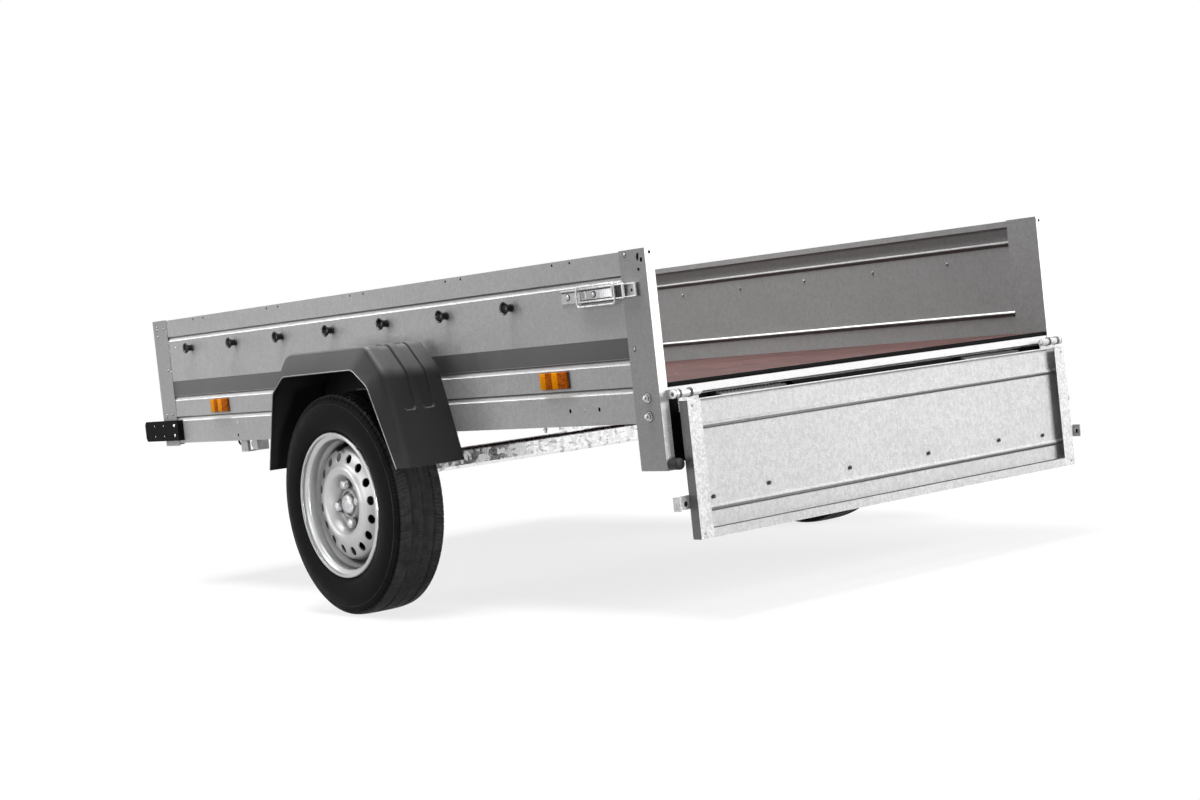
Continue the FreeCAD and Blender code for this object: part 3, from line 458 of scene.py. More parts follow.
def dipped_steel(name, colour, spangle, spots, roughness=0.42, metallic=0.15, size=95, edge=1):
    """Hot-dip galvanised steel with coarse crystals and dark spots, and painted shade on its sideways faces.
    """
    nodes = Nodes(name, colour, roughness, metallic)
    crystal = nodes.cells(size, (1, 1, 0.8))
    fine = nodes.noise(420, 2)
    stain = nodes.noise(60, 4, (0.7, 0.7, 1.6))
    nodes.shade(
        nodes.ranged(crystal, 1 - spangle, 1 + spangle, 0, 1),
        nodes.ranged(fine, 1 - spangle / 2, 1 + spangle / 2),
        nodes.ranged(stain, 1 - spots, 1, 0.36, 0.46),
        # Painted shade on the faces that turn sideways.
        nodes.facing("Y", 1, edge, 0.6, 0.9),
        nodes.facing("Y", edge, 1, -0.9, -0.6),
    )
    nodes.rough(crystal, 0.1)
    nodes.bump(fine, 0.12, 0.35)
    return nodes.material


def plastic(name, colour, roughness, grain_scale, grain_depth, **sockets):
    """Moulded plastic or rubber with a fine grain and slightly worn tone."""
    nodes = Nodes(name, colour, roughness, **sockets)
    grain = nodes.noise(grain_scale, 1.5)
    soft = nodes.noise(9, 3)
    nodes.shade(nodes.ranged(grain, 0.88, 1.12), nodes.ranged(soft, 0.86, 1.14))
    nodes.rough(soft, 0.06)
    nodes.bump(grain, grain_depth, 0.4)
    return nodes.material


def guard_shell():
    """Black moulded plastic with painted highlights on its outer and upper faces and towards its top, and
    painted shade on its downward faces.
    """
    nodes = Nodes("guard_plastic", (0.0195, 0.0195, 0.02), 0.5, Specular_IOR_Level=0.16)
    grain = nodes.noise(700, 1.5)
    soft = nodes.noise(9, 3)
    nodes.shade(
        nodes.ranged(grain, 0.85, 1.15),
        nodes.ranged(soft, 0.88, 1.12),
        # Painted highlights on outer faces, upper faces and towards the top; painted shade on downward faces.
        nodes.outward(1, 4.3, 0.72, 0.92),
        nodes.facing("Z", 1, 3, 0.3, 0.85),
        nodes.facing("Z", 0.3, 1, -0.6, -0.1),
        nodes.along("Z", 0.85, 1.5, 0.61, 0.67),
    )
    nodes.rough(soft, 0.06)
    nodes.bump(grain, 0.12, 0.4)
    return nodes.material


def plywood_face():
    """Film-faced plywood in reddish brown with a fine wire pattern."""
    nodes = Nodes("plywood_film", (0.074, 0.040, 0.0375), 0.6, Specular_IOR_Level=0.05)
    fibre = nodes.noise(75, 5, (0.1, 1, 1))
    pores = nodes.noise(420, 1, (0.4, 1, 1))
    soft = nodes.noise(5, 2, (0.4, 1, 1))
    nodes.shade(nodes.ranged(fibre, 0.45, 1.5), nodes.ranged(pores, 0.7, 1.3), nodes.ranged(soft, 0.88, 1.12))
    nodes.bump(nodes.texture("TexVoronoi", "Distance", 330), 0.15, 0.4)
    return nodes.material


def reflector_lens(name, colour, dark):
    """Reflector lens with its prisms under a clear skin."""
    nodes = Nodes(name, colour, 0.35, Specular_IOR_Level=0.04)
    prisms = nodes.cells(230)
    fine = nodes.noise(260, 2)
    factor = nodes.ranged(nodes.times(prisms, fine), 0, 1, 0.15, 0.5)
    colours = {0: factor, 6: (*colour, 1), 7: (*dark, 1)}
    nodes.lead(nodes.add("Mix", 2, colours, data_type="RGBA"), "Base Color")
    nodes.bump(prisms, 0.3, 0.4)
    return nodes.material


def wheel_paint():
    """Silver wheel paint with a fine flake, darkened by painted shade towards the deep parts of the wheel."""
    nodes = Nodes("wheel_paint", (0.49, 0.49, 0.495), 0.3, 0.45, Coat_Weight=0.15, Coat_Roughness=0.15)
    flake = nodes.noise(1500, 1)
    soft = nodes.noise(14, 3)
    reach = nodes.add("Math", "Value", {0: nodes.axis("Object", "Y")}, operation="ABSOLUTE")
    middle = WHEEL_Y * MM
    nodes.shade(
        nodes.ranged(flake, 0.93, 1.07),
        nodes.ranged(soft, 0.93, 1.07),
        # Painted shade: darker the deeper the place lies in the wheel.
        nodes.ranged(reach, 0.34, 1, middle + 0.024, middle + 0.058),
    )
    nodes.bump(flake, 0.02, 0.2)
    return nodes.material


def tyre_rubber():
    """Tyre rubber, black and dusty, with painted light and shade by radius: a painted highlight on the
    running face that fades down its cuts, a darker band below it, and a painted highlight on a thin ring of
    the sidewall.
    """
    nodes = Nodes("tyre_rubber", (0.0060, 0.0060, 0.0062), 0.5, Specular_IOR_Level=0.03)
    dust = nodes.noise(38, 6)
    grain = nodes.noise(800, 2)
    centre = (axle_x, 0, WHEEL_RADIUS * MM)
    across = nodes.add("VectorMath", "Vector", {0: nodes.place(), 1: centre}, operation="SUBTRACT")
    flat = nodes.add("VectorMath", "Vector", {0: across, 1: (1, 0, 1)}, operation="MULTIPLY")
    radius = nodes.add("VectorMath", "Value", {0: flat}, operation="LENGTH")
    nodes.shade(
        nodes.ranged(dust, 0.75, 1.5),
        nodes.ranged(grain, 0.8, 1.2),
        # Painted light and shade by radius: a darker band below the tread, the running face lit as a painted
        # highlight that fades down the cuts, and a painted highlight on a thin ring of the sidewall.
        nodes.ranged(radius, 1, 0.25, 0.2660, 0.2690),
        nodes.ranged(radius, 1, 19, 0.2705, 0.2750),
        nodes.ranged(radius, 1, 5, 0.2540, 0.2550),
        nodes.ranged(radius, 1, 0.2, 0.2560, 0.2570),
    )
    nodes.rough(dust, 0.1)
    nodes.bump(grain, 0.08, 0.4)
    return nodes.material


def zinc(name, colour, roughness, metallic=0.35):
    """Bright zinc plating with light scratches and clouds."""
    nodes = Nodes(name, colour, roughness, metallic)
    soft = nodes.noise(70, 4)
    scratch = nodes.noise(300, 2, (0.15, 1, 1))
    nodes.shade(nodes.ranged(soft, 0.85, 1.12), nodes.ranged(scratch, 0.95, 1.05))
    nodes.rough(soft, 0.1)
    nodes.bump(scratch, 0.03, 0.2)
    return nodes.material


# On the walls the factor named worn is painted shade towards the rear end.
wall_metal = sheet_metal("wall_sheet", 0.47, 0.14, 0.05, inner=0.58, glint=2.6, under=0.1, worn=0.8)
gate_metal = sheet_metal("gate_sheet", 0.50, 0.16, 0.03, glint=1.25, under=0.3)
post_metal = sheet_metal("post_sheet", 0.37, 0.12, 0.05, inner=0.8, glint=1)
# The rear posts take a darker, shaded copy of the post sheet, with a painted highlight on their rear faces.
rear_post_metal = sheet_metal("rear_post_sheet", 0.28, 0.12, 0.05, inner=0.8, glint=1, rear=3.4)
# The channels' sideways faces take strong painted shade.
channel_metal = dipped_steel("channel_spangle", 0.57, 0.18, 0, size=240, edge=0.24)
frame_metal = dipped_steel("frame_spangle", (0.58, 0.58, 0.585), 0.16, 0.35)
axle_metal = dipped_steel("axle_spangle", 1, 0.04, 0.5, 0.2, 1)
sill_metal = sheet_metal("sill_sheet", 0.62, 0.05, 0.03, glint=1.4)
coupling_metal = zinc("coupling_zinc", (0.50, 0.505, 0.51), 0.4)
bolt_metal = zinc("bolt_zinc", (0.58, 0.58, 0.59), 0.26)
# Bright zinc for rivets, wires and rolls, also used for painted highlights along the latch's edges.
bright_metal_and_highlight = zinc("bright_zinc_and_highlight", (0.80, 0.80, 0.81), 0.3)
nut_metal = zinc("nut_zinc", (0.50, 0.50, 0.505), 0.2, 0.9)
plate_metal = zinc("plate_zinc", (0.34, 0.34, 0.345), 0.34)
rivet_metal = zinc("rivet_zinc", (0.34, 0.34, 0.345), 0.35)
# Dark zinc for dark bolts and screws, also used for painted shade: rings under rivets and nuts, dark plates
# in the latch, and shadow lines on the tailgate.
dark_bolt_and_painted_shade = zinc("dark_bolt_and_painted_shade", (0.05, 0.05, 0.052), 0.4)
guard_plastic = guard_shell()
# Light grey for the bead along each mudguard's lip, which is a painted highlight.
guard_lip_highlight = plastic("guard_lip_highlight", (0.30, 0.30, 0.305), 0.45, 500, 0.03)
# Grey for the screw in each knob's head, also used for a painted highlight on the head's inner lip.
knob_screw_and_highlight = plastic("knob_screw_and_highlight", (0.16, 0.16, 0.165), 0.3, 500, 0.02)
knob_plastic = plastic("knob_plastic", (0.007, 0.007, 0.0075), 0.2, 500, 0.02, Specular_IOR_Level=0.3)
# Black paint, also used for a plate of painted shade behind each wheel's vents.
black_paint_and_shade = plastic("black_paint_and_shade", (0.005, 0.005, 0.0052), 0.5, 300, 0.06, Specular_IOR_Level=0.03)
# Black for painted shade in holes and round rivets.
painted_shade_black = plastic("painted_shade_black", 0.004, 0.9, 300, 0.05, Specular_IOR_Level=0.05)
buffer_rubber = plastic("buffer_rubber", (0.010, 0.010, 0.0105), 0.5, 350, 0.08, Specular_IOR_Level=0.25)
lamp_housing = plastic("lamp_housing", (0.02, 0.02, 0.021), 0.35, 400, 0.04)
grip_plastic = plastic("grip_plastic", 0.02, 0.4, 350, 0.08)
band_film = plastic("band_film", (0.115, 0.115, 0.117), 0.4, 900, 0.02, Specular_IOR_Level=0.25)
amber_bright = reflector_lens("amber_bright", (1, 0.38, 0), (0.9, 0.24, 0))
amber_dark = reflector_lens("amber_dark", (0.58, 0.13, 0), (0.26, 0.045, 0))
red_lens = reflector_lens("red_lens", (0.45, 0.012, 0.01), (0.22, 0.004, 0.004))
amber_lens = reflector_lens("amber_lens", (0.75, 0.25, 0.01), (0.5, 0.13, 0.004))
clear_lens = reflector_lens("clear_lens", (0.62, 0.62, 0.62), (0.4, 0.4, 0.4))
rim_paint = wheel_paint()
tyre_black = tyre_rubber()
plywood = plywood_face()

CARRIED = {
    plywood: ["floor_panel"],
    wall_metal: ["side_wall_left", "side_wall_right", "front_wall"],
    post_metal: ["post_front_left", "post_front_right"],
    rear_post_metal: ["post_rear_left", "post_rear_right"],
    frame_metal: [
        "frame_rails", "cross_members", "rear_beam", "drawbar", "trailing_arm_left", "trailing_arm_right",
        "mudguard_brackets", "jockey_outer_tube", "jockey_inner_tube", "jockey_fork", "jockey_clamp",
    ],
    axle_metal: ["axle_tube"],
    sill_metal: ["rear_sill"],
    gate_metal: ["tailgate_panel"],
    channel_metal: ["tailgate_channels"],
    bolt_metal: ["tailgate_leaves", "tailgate_catches", "hinge_ears", "jockey_crank"],
    coupling_metal: ["coupling_head", "coupling_lever", "plug_holder"],
    black_paint_and_shade: ["lamp_brackets", "plate_holder"],
    buffer_rubber: ["post_buffers", "jockey_wheel"],
}
SOFTENED = ("coupling_head", "coupling_lever", "jockey_clamp", "jockey_fork", "plug_holder", "lamp_brackets")
SOFT_EDGE = 0.8
SOFT_ANGLE = math.radians(14)


def dress_carried():
    """Gives each CAD node that stays in view its material."""
    for material, names in CARRIED.items():
        for name in names:
            shown = frame["nodes"][name]
            if not shown.material_slots:
                shown.data.materials.append(material)
            for slot in shown.material_slots:
                slot.material = material


def soften_carried():
    """Rounds the edges of some CAD nodes that stay in view."""
    for name in SOFTENED:
        modifiers = frame["nodes"][name].modifiers
        weld = modifiers.new("weld", "WELD")
        weld.merge_threshold = MM / 20
        bevel = modifiers.new("bevel", "BEVEL")
        bevel.width = SOFT_EDGE * MM
        bevel.segments = 2
        bevel.limit_method = "ANGLE"
        bevel.angle_limit = SOFT_ANGLE
        bevel.harden_normals = True
        bevel.use_clamp_overlap = True


# Rivets, bolts and holes

DOME = ((0, 0.55), (0.22, 0.6), (0.3, 1), (0.62, 0.86), (0.9, 0.45))


def rivet(radius, height):
    """A domed rivet head with the dimple of its mandrel."""
    line = [(radius * across, height * up) for across, up in DOME]
    return lathe(line + [(radius, 0.1), (radius, -0.6)], 20)


def hex_bolt(radius, height, washer, tip=0):
    """A hexagon head or nut on its washer, with the bolt's end if it has a tip."""
    head = [(0, height), (radius * 0.8, height), (radius, height * 0.86), (radius, 1.2), (radius * 0.99, 0.8)]
    mesh = lathe(head, 6)
    edge = radius * washer
    merge(mesh, lathe([(0, 1.3), (edge * 0.96, 1.3), (edge, 1), (edge, -0.3)], 28))
    if tip:
        top = height + tip
        shank = radius * 0.5
        end = [(0, top), (radius * 0.42, top), (shank, height + tip * 0.8), (shank, height * 0.6)]
        merge(mesh, lathe(end, 16))
    return mesh


def hole(piece, seat, radius, stretch=1):
    """A drilled or slotted hole, shown by a dark bottom of painted shade in a thin raised burr."""
    shape = seat @ Matrix.Diagonal((stretch, 1, 1, 1))
    ring = [(radius, 0.05), (radius + 0.15, 0.35), (radius + 0.5, 0.3), (radius + 0.8, 0.02)]
    piece.add(lathe([(0, 0.12), (radius, 0.12)], 20), painted_shade_black, shape)
    piece.add(lathe(ring, 20), rivet_metal, shape)


def eyelet(piece, seat, radius):
    """A bright rivet in a dark ring of painted shade."""
    piece.add(lathe([(0, 0.2), (radius + 1.3, 0.2), (radius + 1.6, 0)], 20), painted_shade_black, seat)
    piece.add(rivet(radius, radius * 0.55), bolt_metal, seat)


# Wheels

GROOVES = ((32, 3.4), (0, 1.9), (-32, 3.4))
SHOULDER = GROOVES[0][0]
RIB_MIDDLE = 15.4
RIB_HALF = 6.5
GROOVE_DEPTH = 6.5
GROOVE_WALL = 0.9
TREAD_HALF = 60
SHOULDER_ROW = (60, 56, 50, 44, 39)
CROWN_DROP = 3
PITCHES = 92
SHOULDER_CUT = 6.5
RIB_CUT = 4
SHOULDER_FOOT = 260.5
PITCH_STEPS = (
    0, 0.03, 0.11, 0.14, 0.33, 0.35, 0.41, 0.43, 0.49, 0.505, 0.53, 0.545, 0.66, 0.68, 0.74, 0.76,
)
MAIN_CUT = (0.03, 0.11)
RIB_CUTS = ((0.35, 0.41), (0.68, 0.74))
SIPE = (0.505, 0.53)
SIPE_SHARE = 0.4
SHOULDER_SLANT = 0.006
SHOULDER_CURVE = 1.2
RIB_SLANT = 0.026
TYRE_SHARP = math.radians(38)
SIDEWALL = [
    (56.5, 166.5), (57.5, 176), (59, 182), (63.5, 184.8), (68, 187), (70.6, 190), (70.9, 193),
    (72.8, 195), (75.2, 203), (76.6, 213), (77.2, 224), (76.9, 232), (76, 239), (74.6, 245),
    (72.6, 251), (71.4, 254), (71.9, 255.2), (71.5, 256.6), (70, 257.2), (69, 259.5), (67.4, 264),
    (65.2, 268.6), (62.8, 272.4),
]


def tread_line():
    """The tyre's section from the outer sidewall to the inner one, as (Y, radius, cut) points."""
    across = [(row, 0) for row in SHOULDER_ROW]
    for middle, half in GROOVES:
        for place, drop in ((half, 0), (half - GROOVE_WALL, 1), (GROOVE_WALL - half, 1), (-half, 0)):
            across.append((middle + place, drop))
        if middle > GROOVES[-1][0]:
            rib = math.copysign(RIB_MIDDLE, middle - 1)
            across += [(rib + RIB_HALF, 0), (rib, 0), (rib - RIB_HALF, 0)]
    across += [(-row, 0) for row in reversed(SHOULDER_ROW)]
    points = []
    for y, radius in SIDEWALL:
        points.append((y, radius, SHOULDER_CUT if radius > SHOULDER_FOOT else 0))
    inner = [(-y, radius, cut) for y, radius, cut in reversed(points)]
    for y, drop in across:
        radius = WHEEL_RADIUS - CROWN_DROP * (y / TREAD_HALF) ** 4
        cut = SHOULDER_CUT if abs(y) > SHOULDER else RIB_CUT
        points.append((y, radius - drop * GROOVE_DEPTH, cut * (1 - drop)))
    return points + inner


def slant(y):
    """How far, in pitches, the cuts are turned round the tyre at a place across it."""
    if abs(y) > SHOULDER:
        return SHOULDER_SLANT * (abs(y) - SHOULDER) ** SHOULDER_CURVE
    return RIB_SLANT * abs(abs(y) - RIB_MIDDLE)


def cut_share(step, y):
    """How much of the full cut a place in the pitch has."""
    if MAIN_CUT[0] <= step <= MAIN_CUT[1]:
        return 1
    if abs(y) > SHOULDER:
        return SIPE_SHARE if SIPE[0] <= step <= SIPE[1] else 0
    return 1 if any(start <= step <= end for start, end in RIB_CUTS) else 0


def tyre(side, name):
    """Tyre with its grooved and cut tread."""
    columns = []
    line = tread_line()
    for pitch in range(PITCHES):
        for step in PITCH_STEPS:
            column = []
            for y, radius, cut in line:
                shift = slant(y) if radius > SHOULDER_FOOT else 0
                angle = TURN * (pitch + step + shift) / PITCHES
                reach = radius - cut * cut_share(step, y)
                column.append((reach * math.cos(angle), y, reach * math.sin(angle)))
            columns.append(column)
    piece = Piece("tyre_tread_" + name)
    seat = FLIP[side] @ Matrix.Translation((0, WHEEL_Y, WHEEL_RADIUS))
    piece.add(skin(columns, closed=True), tyre_black, seat)
    piece.finish("wheel_" + name, "tyre", "tyre_" + name, sharp=TYRE_SHARP)


BARREL = [
    (176.5, 70), (179.8, 70.4), (181.2, 68.8), (181.2, 66.8), (179.4, 65.6), (176.5, 65.2), (173, 63.6),
    (167.5, 60), (165.2, 57), (164.6, 50), (164.3, 38), (162.5, 34), (157, 29), (152, 24),
    (149.8, 18), (149.2, 4), (149.4, -12), (151.5, -20), (158, -30), (163.5, -38),
    (164.6, -44), (164.8, -56), (166.5, -59), (172, -63), (176.5, -65.2), (180, -66),
    (181.2, -68), (180, -70.2), (177, -70.4),
]
BARREL_SHEET = 3.2
DISC_FACE = 30
DISC = [
    (31, 6), (31.2, 9), (33.5, 10.4), (37, 8.5), (42, 3), (48, 1.2), (55, 1.4), (60, 3.5),
    (65, 9.5), (70, 18), (75, 25.5), (80.5, 29.8), (87, 31), (93.5, 29.6), (99, 26.4),
    (104, 23.6), (109, 21.8), (119, 18.6), (129, 14.6), (136.5, 10.8), (140.5, 7), (143, 0.5),
    (144.4, -10), (144.8, -26),
]
WELD_BEAD = [(151.6, 8), (150.4, 10), (148.2, 10.6), (146, 9.6), (145.2, 7)]
VENTS = 16
VENT_CIRCLE = 119.1
VENT_TURN = math.radians(4.5)
VENT_RADIUS = 11.6
VENT_DRILL = [(0, -60), (VENT_RADIUS, -60), (VENT_RADIUS, 60), (0, 60)]
VALVE = [(6.6, -6), (6.6, 5), (5.2, 9), (5, 24), (5.6, 25), (5.6, 34), (4.4, 37), (0, 37)]
VALVE_PLACE = (152, 0, 20)
VALVE_TURN = math.radians(92)
VALVE_LEAN = math.radians(-24)
BOLTS = 4
BOLT_CIRCLE = 50
BOLT_TURN = math.radians(8)
BOLT_RING = [(19.5, 0.2), (19, 1.2), (17.6, 1.6), (16.4, 1)]
BOLT_HEAD = [(0, 20.6), (6.4, 20.4), (10, 19), (11.6, 16.6), (12.4, 8), (13.4, 6)]
BOLT_COLLAR = [(16.4, 0.5), (16.4, 4), (15, 6), (11, 6.6)]
HUB_CAP = [
    (0, 51), (9, 50.6), (14, 49.2), (14.6, 48.2), (15.6, 48.8), (20, 47.4), (23.4, 44.6),
    (25, 41), (25.4, 35), (26.6, 34), (27.8, 34.2), (28, 32), (28, 24),
]
HUB_BODY = [
    (28, 29), (31, 28.6), (57.6, 28.4), (57.8, 26), (57.8, 20.6), (34, 19.8), (32.8, 16),
    (32.8, -33), (31, -35.8), (18, -35.8),
]
# A black plate behind the disc, which stands for the shade seen through the vents.
VENT_SHADE_PLATE = [
    (33, -26), (60, -27), (112, -20), (117, -10), (118, 2), (122, 2), (122, -22),
    (116, -30), (60, -33), (33, -33),
]


def thick(profile, sheet):
    """A closed section from an open line of (radius, along) points and the sheet's thickness."""
    back = []
    for index, point in enumerate(profile):
        before = Vector(profile[max(index - 1, 0)])
        after = Vector(profile[min(index + 1, len(profile) - 1)])
        way = (after - before).normalized()
        back.append((point[0] - way.y * sheet, point[1] + way.x * sheet))
    return list(profile) + back[::-1]


def carved(shape, cutters):
    """The shape with the cutters taken out of it."""
    holders = [linked("carving", as_mesh("carving", part)) for part in (shape, cutters)]
    cut = holders[0].modifiers.new("cut", "BOOLEAN")
    cut.object = holders[1]
    cut.operation = "DIFFERENCE"
    cut.solver = "EXACT"
    bpy.context.view_layer.update()
    done = bmesh.new()
    done.from_object(holders[0], bpy.context.evaluated_depsgraph_get())
    for holder in holders:
        mesh = holder.data
        bpy.data.objects.remove(holder)
        bpy.data.meshes.remove(mesh)
    return done


def wheel_disc():
    """The pressed disc with its ring of vents."""
    disc = lathe(thick(eased(DISC, 3), -BARREL_SHEET), 128, closed=True)
    cutters = bmesh.new()
    for index in range(VENTS):
        drill = lathe(VENT_DRILL, 28)
        drill.transform(Matrix.Translation(polar(VENT_CIRCLE, VENT_TURN + TURN * index / VENTS)))
        merge(cutters, drill)
    return carved(disc, cutters)


def rim(side, name):
    """Wheel rim: rolled barrel, pressed disc, weld bead, valve and bolts."""
    seat = side_seat(side, 0, WHEEL_Y, WHEEL_RADIUS)
    piece = Piece("rim_pressed_" + name)
    piece.add(lathe(thick(eased(BARREL, 3), BARREL_SHEET), 128, closed=True), rim_paint, seat)
    piece.add(wheel_disc(), rim_paint, seat @ Matrix.Translation((0, 0, DISC_FACE)))
    piece.add(lathe(WELD_BEAD, 128), rim_paint, seat)
    lean = Matrix.Rotation(VALVE_TURN, 4, "Z") @ Matrix.Translation(VALVE_PLACE)
    piece.add(lathe(VALVE, 18), tyre_black, seat @ lean @ Matrix.Rotation(VALVE_LEAN, 4, "Y"))
    for index in range(BOLTS):
        angle = BOLT_TURN + TURN * index / BOLTS
        place = seat @ Matrix.Translation(polar(BOLT_CIRCLE, angle, DISC_FACE + 1))
        piece.add(lathe(BOLT_RING, 28), dark_bolt_and_painted_shade, place)
        piece.add(lathe(BOLT_HEAD, 6, start=angle), bolt_metal, place)
        piece.add(lathe(BOLT_COLLAR, 28), dark_bolt_and_painted_shade, place)
    piece.finish("wheel_" + name, "rim_paint", "rim_" + name)


def hub(side, name):
    """Hub: the grease cap in the centre hole, the hub's body, and a black plate behind the disc that is
    painted shade seen through the vents.
    """
    seat = side_seat(side, 0, WHEEL_Y, WHEEL_RADIUS)
    piece = Piece("hub_cap_" + name)
    piece.add(lathe(HUB_CAP, 64), bolt_metal, seat)
    piece.add(lathe(HUB_BODY, 64), frame_metal, seat)
    # A black plate behind the disc: painted shade seen through the vents.
    piece.add(lathe(VENT_SHADE_PLATE, 96, closed=True), black_paint_and_shade, seat)
    piece.finish("wheel_" + name, "hub_steel", "hub_" + name)


# Mudguards

GUARD_LOW, GUARD_HIGH = extent("mudguard_left")
GUARD_RIDGE = 850
GUARD_LIP = GUARD_HIGH.y - 0.5
GUARD_WALL = 3
GUARD_ROUND = 12
GUARD_FOOT = 16
GUARD_INSIDE = Vector((0, 0, 400))
GUARD_PATH = [
    (348, GUARD_LOW.z), (285, 577), (196, GUARD_HIGH.z), (-190, GUARD_HIGH.z), (-260, 601),
    (-331, GUARD_LOW.z),
]
GUARD_EDGE = [
    (345, GUARD_RIDGE + 4, GUARD_LOW.z), (282, GUARD_RIDGE + 5, 573), (184, GUARD_LIP, 614),
    (-157, GUARD_LIP, 616), (-220, GUARD_LIP, 572), (-312, GUARD_LIP, GUARD_LOW.z),
]
GUARD_CUTS = (4, 5, 60, 30, 56)
PATH_BENDS = (14, 24, 16, 16)
LIP_BENDS = (12, 14, 14, 12)
LIP_SHARES = (0.3, 0.6, 0.85, 1)
LIP_RETURN = ((1.6, 0.8), (2.4, 3))
STRIP_INNER = (GUARD_LOW.y + 0.2, 705, 722)
STRIP_OUTER = (826, 832)
OPENING_SHARE = (0.675, 0.635)
LIP_HIGHLIGHT_RADIUS = 1.3
CHANNEL_MIDDLES = (746, 799.5)
CHANNEL_HALF = 17.5
CHANNEL_DEPTH = 5.5
CHANNEL_START = -170
CHANNEL_END = 507
CHANNEL_CORNER = 12
CHANNEL_SLOPE = 3
CHANNEL_STRIP = (726, 94, 56)


def channel_depth(along, y, start, end):
    """How deep the guard's channels are at a length along its path and a place across it."""
    depth = 0
    for middle in CHANNEL_MIDDLES:
        over = abs(along - (start + end) / 2) - (end - start) / 2 + CHANNEL_CORNER
        beside = abs(y - middle) - CHANNEL_HALF + CHANNEL_CORNER
        inside = min(max(over, beside), 0) + math.hypot(max(over, 0), max(beside, 0)) - CHANNEL_CORNER
        share = min(max(-inside / CHANNEL_SLOPE, 0), 1)
        depth = max(depth, CHANNEL_DEPTH * share * share * (3 - 2 * share))
    return depth


def guard_columns():
    """Places across the guard's strip, close together where the channels lie."""
    first, width, count = CHANNEL_STRIP
    inner = [first + width * step / count for step in range(count + 1)]
    return [*STRIP_INNER, *inner, *STRIP_OUTER]


def guard_path(cuts):
    """The line of the guard's strip in its upright plane, with eased bends."""
    return rounded_line([(x, 0, z) for x, z in GUARD_PATH], PATH_BENDS, cuts)


def guard_lip():
    """The line of the guard's outer edge, with eased bends."""
    return rounded_line(GUARD_EDGE, LIP_BENDS, GUARD_CUTS)


def guard_row(point, way, edge, depths):
    """A row of the guard's outer face: the strip with its channels, the ridge, the lip and its return."""
    inward = Vector((way.z, 0, -way.x))
    if inward.dot(GUARD_INSIDE - point) < 0:
        inward.negate()
    row = [point + Vector((0, y, 0)) + inward * depth for y, depth in depths]
    ridge = point + Vector((0, GUARD_RIDGE, 0))
    rise = min(max((GUARD_LOW.z + GUARD_FOOT - point.z) / GUARD_FOOT, 0), 1)
    if point.x < 0:
        edge = edge.lerp(ridge, 0.5 * (1 - math.sqrt(1 - rise * rise)))
    over = edge - ridge
    last = ridge + over.normalized() * min(GUARD_ROUND, over.length * 0.4)
    row += bend(ridge - Vector((0, GUARD_ROUND, 0)), ridge, last, 6)
    row += [last.lerp(edge, share) for share in LIP_SHARES]
    return row + [edge + inward * deep - Vector((0, back, 0)) for deep, back in LIP_RETURN]


def guard_surface():
    """The outer face of the left mudguard, as thick as its wall."""
    path = guard_path(GUARD_CUTS)
    lengths = [0]
    for near, far in zip(path, path[1:]):
        lengths.append(lengths[-1] + (far - near).length)
    start = max(length for length, point in zip(lengths, path) if point.x > CHANNEL_START)
    end = min(length for length, point in zip(lengths, path) if point.z < CHANNEL_END and point.x < 0)
    ways = [(after - before).normalized() for before, after in zip(path[:1] + path, path[1:] + path[-1:])]
    rows = []
    for point, way, edge, length in zip(path, ways, guard_lip(), lengths):
        depths = [(y, channel_depth(length, y, start, end)) for y in guard_columns()]
        rows.append(guard_row(point, way, edge, depths))
    mesh = skin(rows)
    top = max(mesh.faces, key=lambda face: face.calc_center_median().z)
    if top.normal.z < 0:
        bmesh.ops.reverse_faces(mesh, faces=mesh.faces)
    bmesh.ops.solidify(mesh, geom=mesh.faces[:], thickness=GUARD_WALL)
    return mesh


def mudguard(side, name):
    """Mudguard: an angular shell with two channels and a flared lip, a light bead along the lip as a painted
    highlight, and its inner side.
    """
    piece = Piece("mudguard_shell_" + name)
    piece.add(guard_surface(), guard_plastic, FLIP[side])
    # A light grey bead along the lip's outer edge: a painted highlight.
    bead = [place - Vector((0, 0.6, 0)) for place in guard_lip()]
    piece.add(wire(bead, LIP_HIGHLIGHT_RADIUS), guard_lip_highlight, FLIP[side])
    outline = []
    for point in guard_path((1, 1, 1, 1, 1)):
        outline.append((point.x, point.z - 1 if point.z > GUARD_LOW.z + 1 else point.z))
    for x, z in reversed(GUARD_PATH):
        outline.append((x * OPENING_SHARE[0], GUARD_LOW.z + (z - GUARD_LOW.z) * OPENING_SHARE[1]))
    piece.add(plate(outline, GUARD_WALL, 0.5), guard_plastic, upright(side, GUARD_LOW.y))
    piece.finish("chassis", "guard_plastic", "mudguard_" + name)


# Cover knobs

KNOB_HEIGHT = 722
KNOB_START = 1093
KNOB_PITCH = 274
KNOB_COUNT = 7
KNOB_MARGIN = 13
GATE_KNOBS = ((-1, 0), (-0.7, 1), (-0.24, 1), (0.24, 1), (0.7, 1), (1, 0))
SPOOL = [
    (9.6, 0), (9.8, 1.6), (9, 4), (8.8, 8), (9.2, 12), (10.8, 16), (13.4, 19.6), (15.6, 21.6),
    (16, 23), (15.6, 24.2), (14.8, 24.6), (14, 24.2),
]
SPOOL_PARTS = (
    (eased(SPOOL, 3), 36, knob_plastic),
    # A lighter ring on the head's inner lip: a painted highlight.
    ([(13.8, 24.2), (13.2, 23.4), (12.8, 22.4)], 36, knob_screw_and_highlight),
    ([(12.8, 22.4), (11.6, 18), (8.6, 15), (6.6, 14), (6, 14.4)], 36, knob_plastic),
    ([(6, 14.4), (5, 15.6), (3.4, 17), (0, 17.2)], 24, knob_screw_and_highlight),
)


